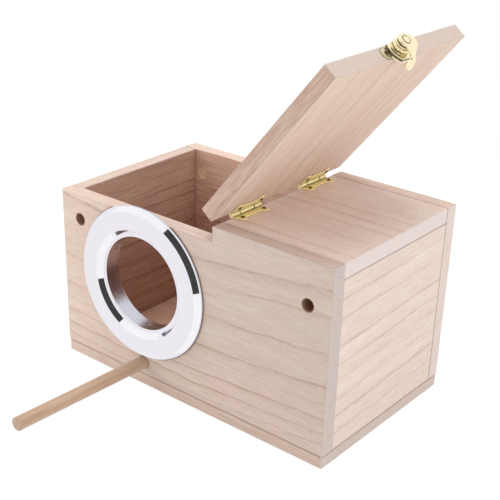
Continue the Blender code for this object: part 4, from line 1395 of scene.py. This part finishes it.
def ring_card(sizes):
    """A white card round the ring, a hair before the panel, for glossy rays alone.

    It keeps the panel's wood out of the ring's polished side, as a photographer does.
    """
    place, radius = ring_place()
    place.y -= sizes.card_stand
    profile = [(radius + sizes.card_gap, 0), (radius + sizes.card_width, 0)]
    made = turned("ring_card", profile, 96, basis(X, Z, -Y, place), caps=False)
    only_mirrored(made)
    material, s = new_material("ring_card_white")
    s.node("ShaderNodeOutputMaterial", None, {"Surface": s.glow(sizes.card_colour)})
    paint(made, material)
    return made


# For each lamp: its place, the point that it faces, and its width and height, in metres.
LAMPS = {"key": ((1.35, -0.15, 0.45), (0, 0, 0.08), 1.1, 0.9),
         "fill": ((-0.42, -0.4, 0.26), (-0.08, 0, 0.07), 0.4, 0.4),
         "top": ((-0.2, 0.1, 1.5), (0, 0, 0.06), 1.0, 1.0)}


class NESTBOX_OT_stage(Operator):
    """Sets the camera, the floor, the lamps and the light all round"""
    bl_idname = "nestbox.stage"
    bl_label = "Stage"

    def execute(self, context):
        scene, sizes = context.scene, context.scene.nest_stage
        data = bpy.data.cameras.new("camera")
        data.sensor_width, data.lens = 36, sizes.lens
        data.shift_x, data.shift_y = sizes.shift_x, sizes.shift_y
        data.clip_start, data.clip_end = 0.01, 50
        camera = add_object("camera", data)
        camera.location, camera.rotation_euler = sizes.camera_place, sizes.camera_turn
        scene.camera = camera
        centre = middle("entrance_ring")
        tent_gap(centre, sizes.camera_place, sizes)
        ring_card(sizes)
        self.make_floor(sizes)
        self.make_world(scene, sizes)
        for name, place in LAMPS.items():
            lamp(f"{name}_lamp", *place, getattr(sizes, name))
        scene.view_settings.view_transform = "Standard"
        return {"FINISHED"}

    def make_floor(self, sizes):
        """A pale round floor whose shadow fades to plain white towards its rim."""
        floor = turned("floor", [(0, 0), (0.5, 0), (1.5, 0)], 64, caps=False)
        material, s = new_material("floor_paper")
        shown = (1 - s.length(s.coordinates()).smooth(*sizes.shadow_reach)) * sizes.shadow
        seen = seen_white(s)
        paper = s.node("ShaderNodeBsdfDiffuse", None, {"Color": sizes.paper})
        lifted = s.node("ShaderNodeAddShader", None, {0: paper, 1: s.glow(WHITE, sizes.lift)})
        paper = s.node("ShaderNodeMixShader", None, {0: seen, 1: paper, 2: lifted})
        mixed = s.node("ShaderNodeMixShader", None,
                       {0: seen * (1 - shown), 1: paper, 2: s.glow(WHITE)})
        s.node("ShaderNodeOutputMaterial", None, {"Surface": mixed})
        paint(floor, material)
        floor.visible_glossy = False

    def make_world(self, scene, sizes):
        """White to camera and glossy rays, a softer level for the light on the object."""
        world = bpy.data.worlds.new("light_tent")
        world.use_nodes = True
        s = Shader(world.node_tree)
        soft, white = (s.node("ShaderNodeBackground", None, {"Color": WHITE, "Strength": level})
                       for level in (sizes.ambient, 1.0))
        mixed = s.node("ShaderNodeMixShader", None, {0: seen_white(s), 1: soft, 2: white})
        s.node("ShaderNodeOutputWorld", None, {"Surface": mixed})
        scene.world = world


OPERATORS = (NESTBOX_OT_boards, NESTBOX_OT_ring_screws, NESTBOX_OT_ring, NESTBOX_OT_perch,
             NESTBOX_OT_hinges, NESTBOX_OT_latch, NESTBOX_OT_hook, NESTBOX_OT_catch,
             NESTBOX_OT_brads, NESTBOX_OT_stage)


class NESTBOX_PT_panel(Panel):
    """Lists the nest box's pieces"""
    bl_idname = "NESTBOX_PT_panel"
    bl_label = "Nest box"
    bl_space_type = "VIEW_3D"
    bl_region_type = "UI"
    bl_category = "Nest box"

    def draw(self, context):
        for group in GROUPS:
            settings = getattr(context.scene, group)
            box = self.layout.box()
            box.label(text=group.replace("nest_", "").capitalize())
            for name in settings.__annotations__:
                box.prop(settings, name)
        for operator in OPERATORS:
            self.layout.operator(operator.bl_idname)


def register():
    for kind in (*GROUPS.values(), *OPERATORS, NESTBOX_PT_panel):
        bpy.utils.register_class(kind)
    for name, kind in GROUPS.items():
        setattr(bpy.types.Scene, name, PointerProperty(type=kind))


def unregister():
    for name in GROUPS:
        delattr(bpy.types.Scene, name)
    for kind in reversed((*GROUPS.values(), *OPERATORS, NESTBOX_PT_panel)):
        bpy.utils.unregister_class(kind)


def main():
    register()
    for operator in OPERATORS:
        group, name = operator.bl_idname.split(".")
        if getattr(getattr(bpy.ops, group), name)() != {"FINISHED"}:
            raise RuntimeError(f"{operator.bl_label} could not be made")


if __name__ == "__main__":
    main()
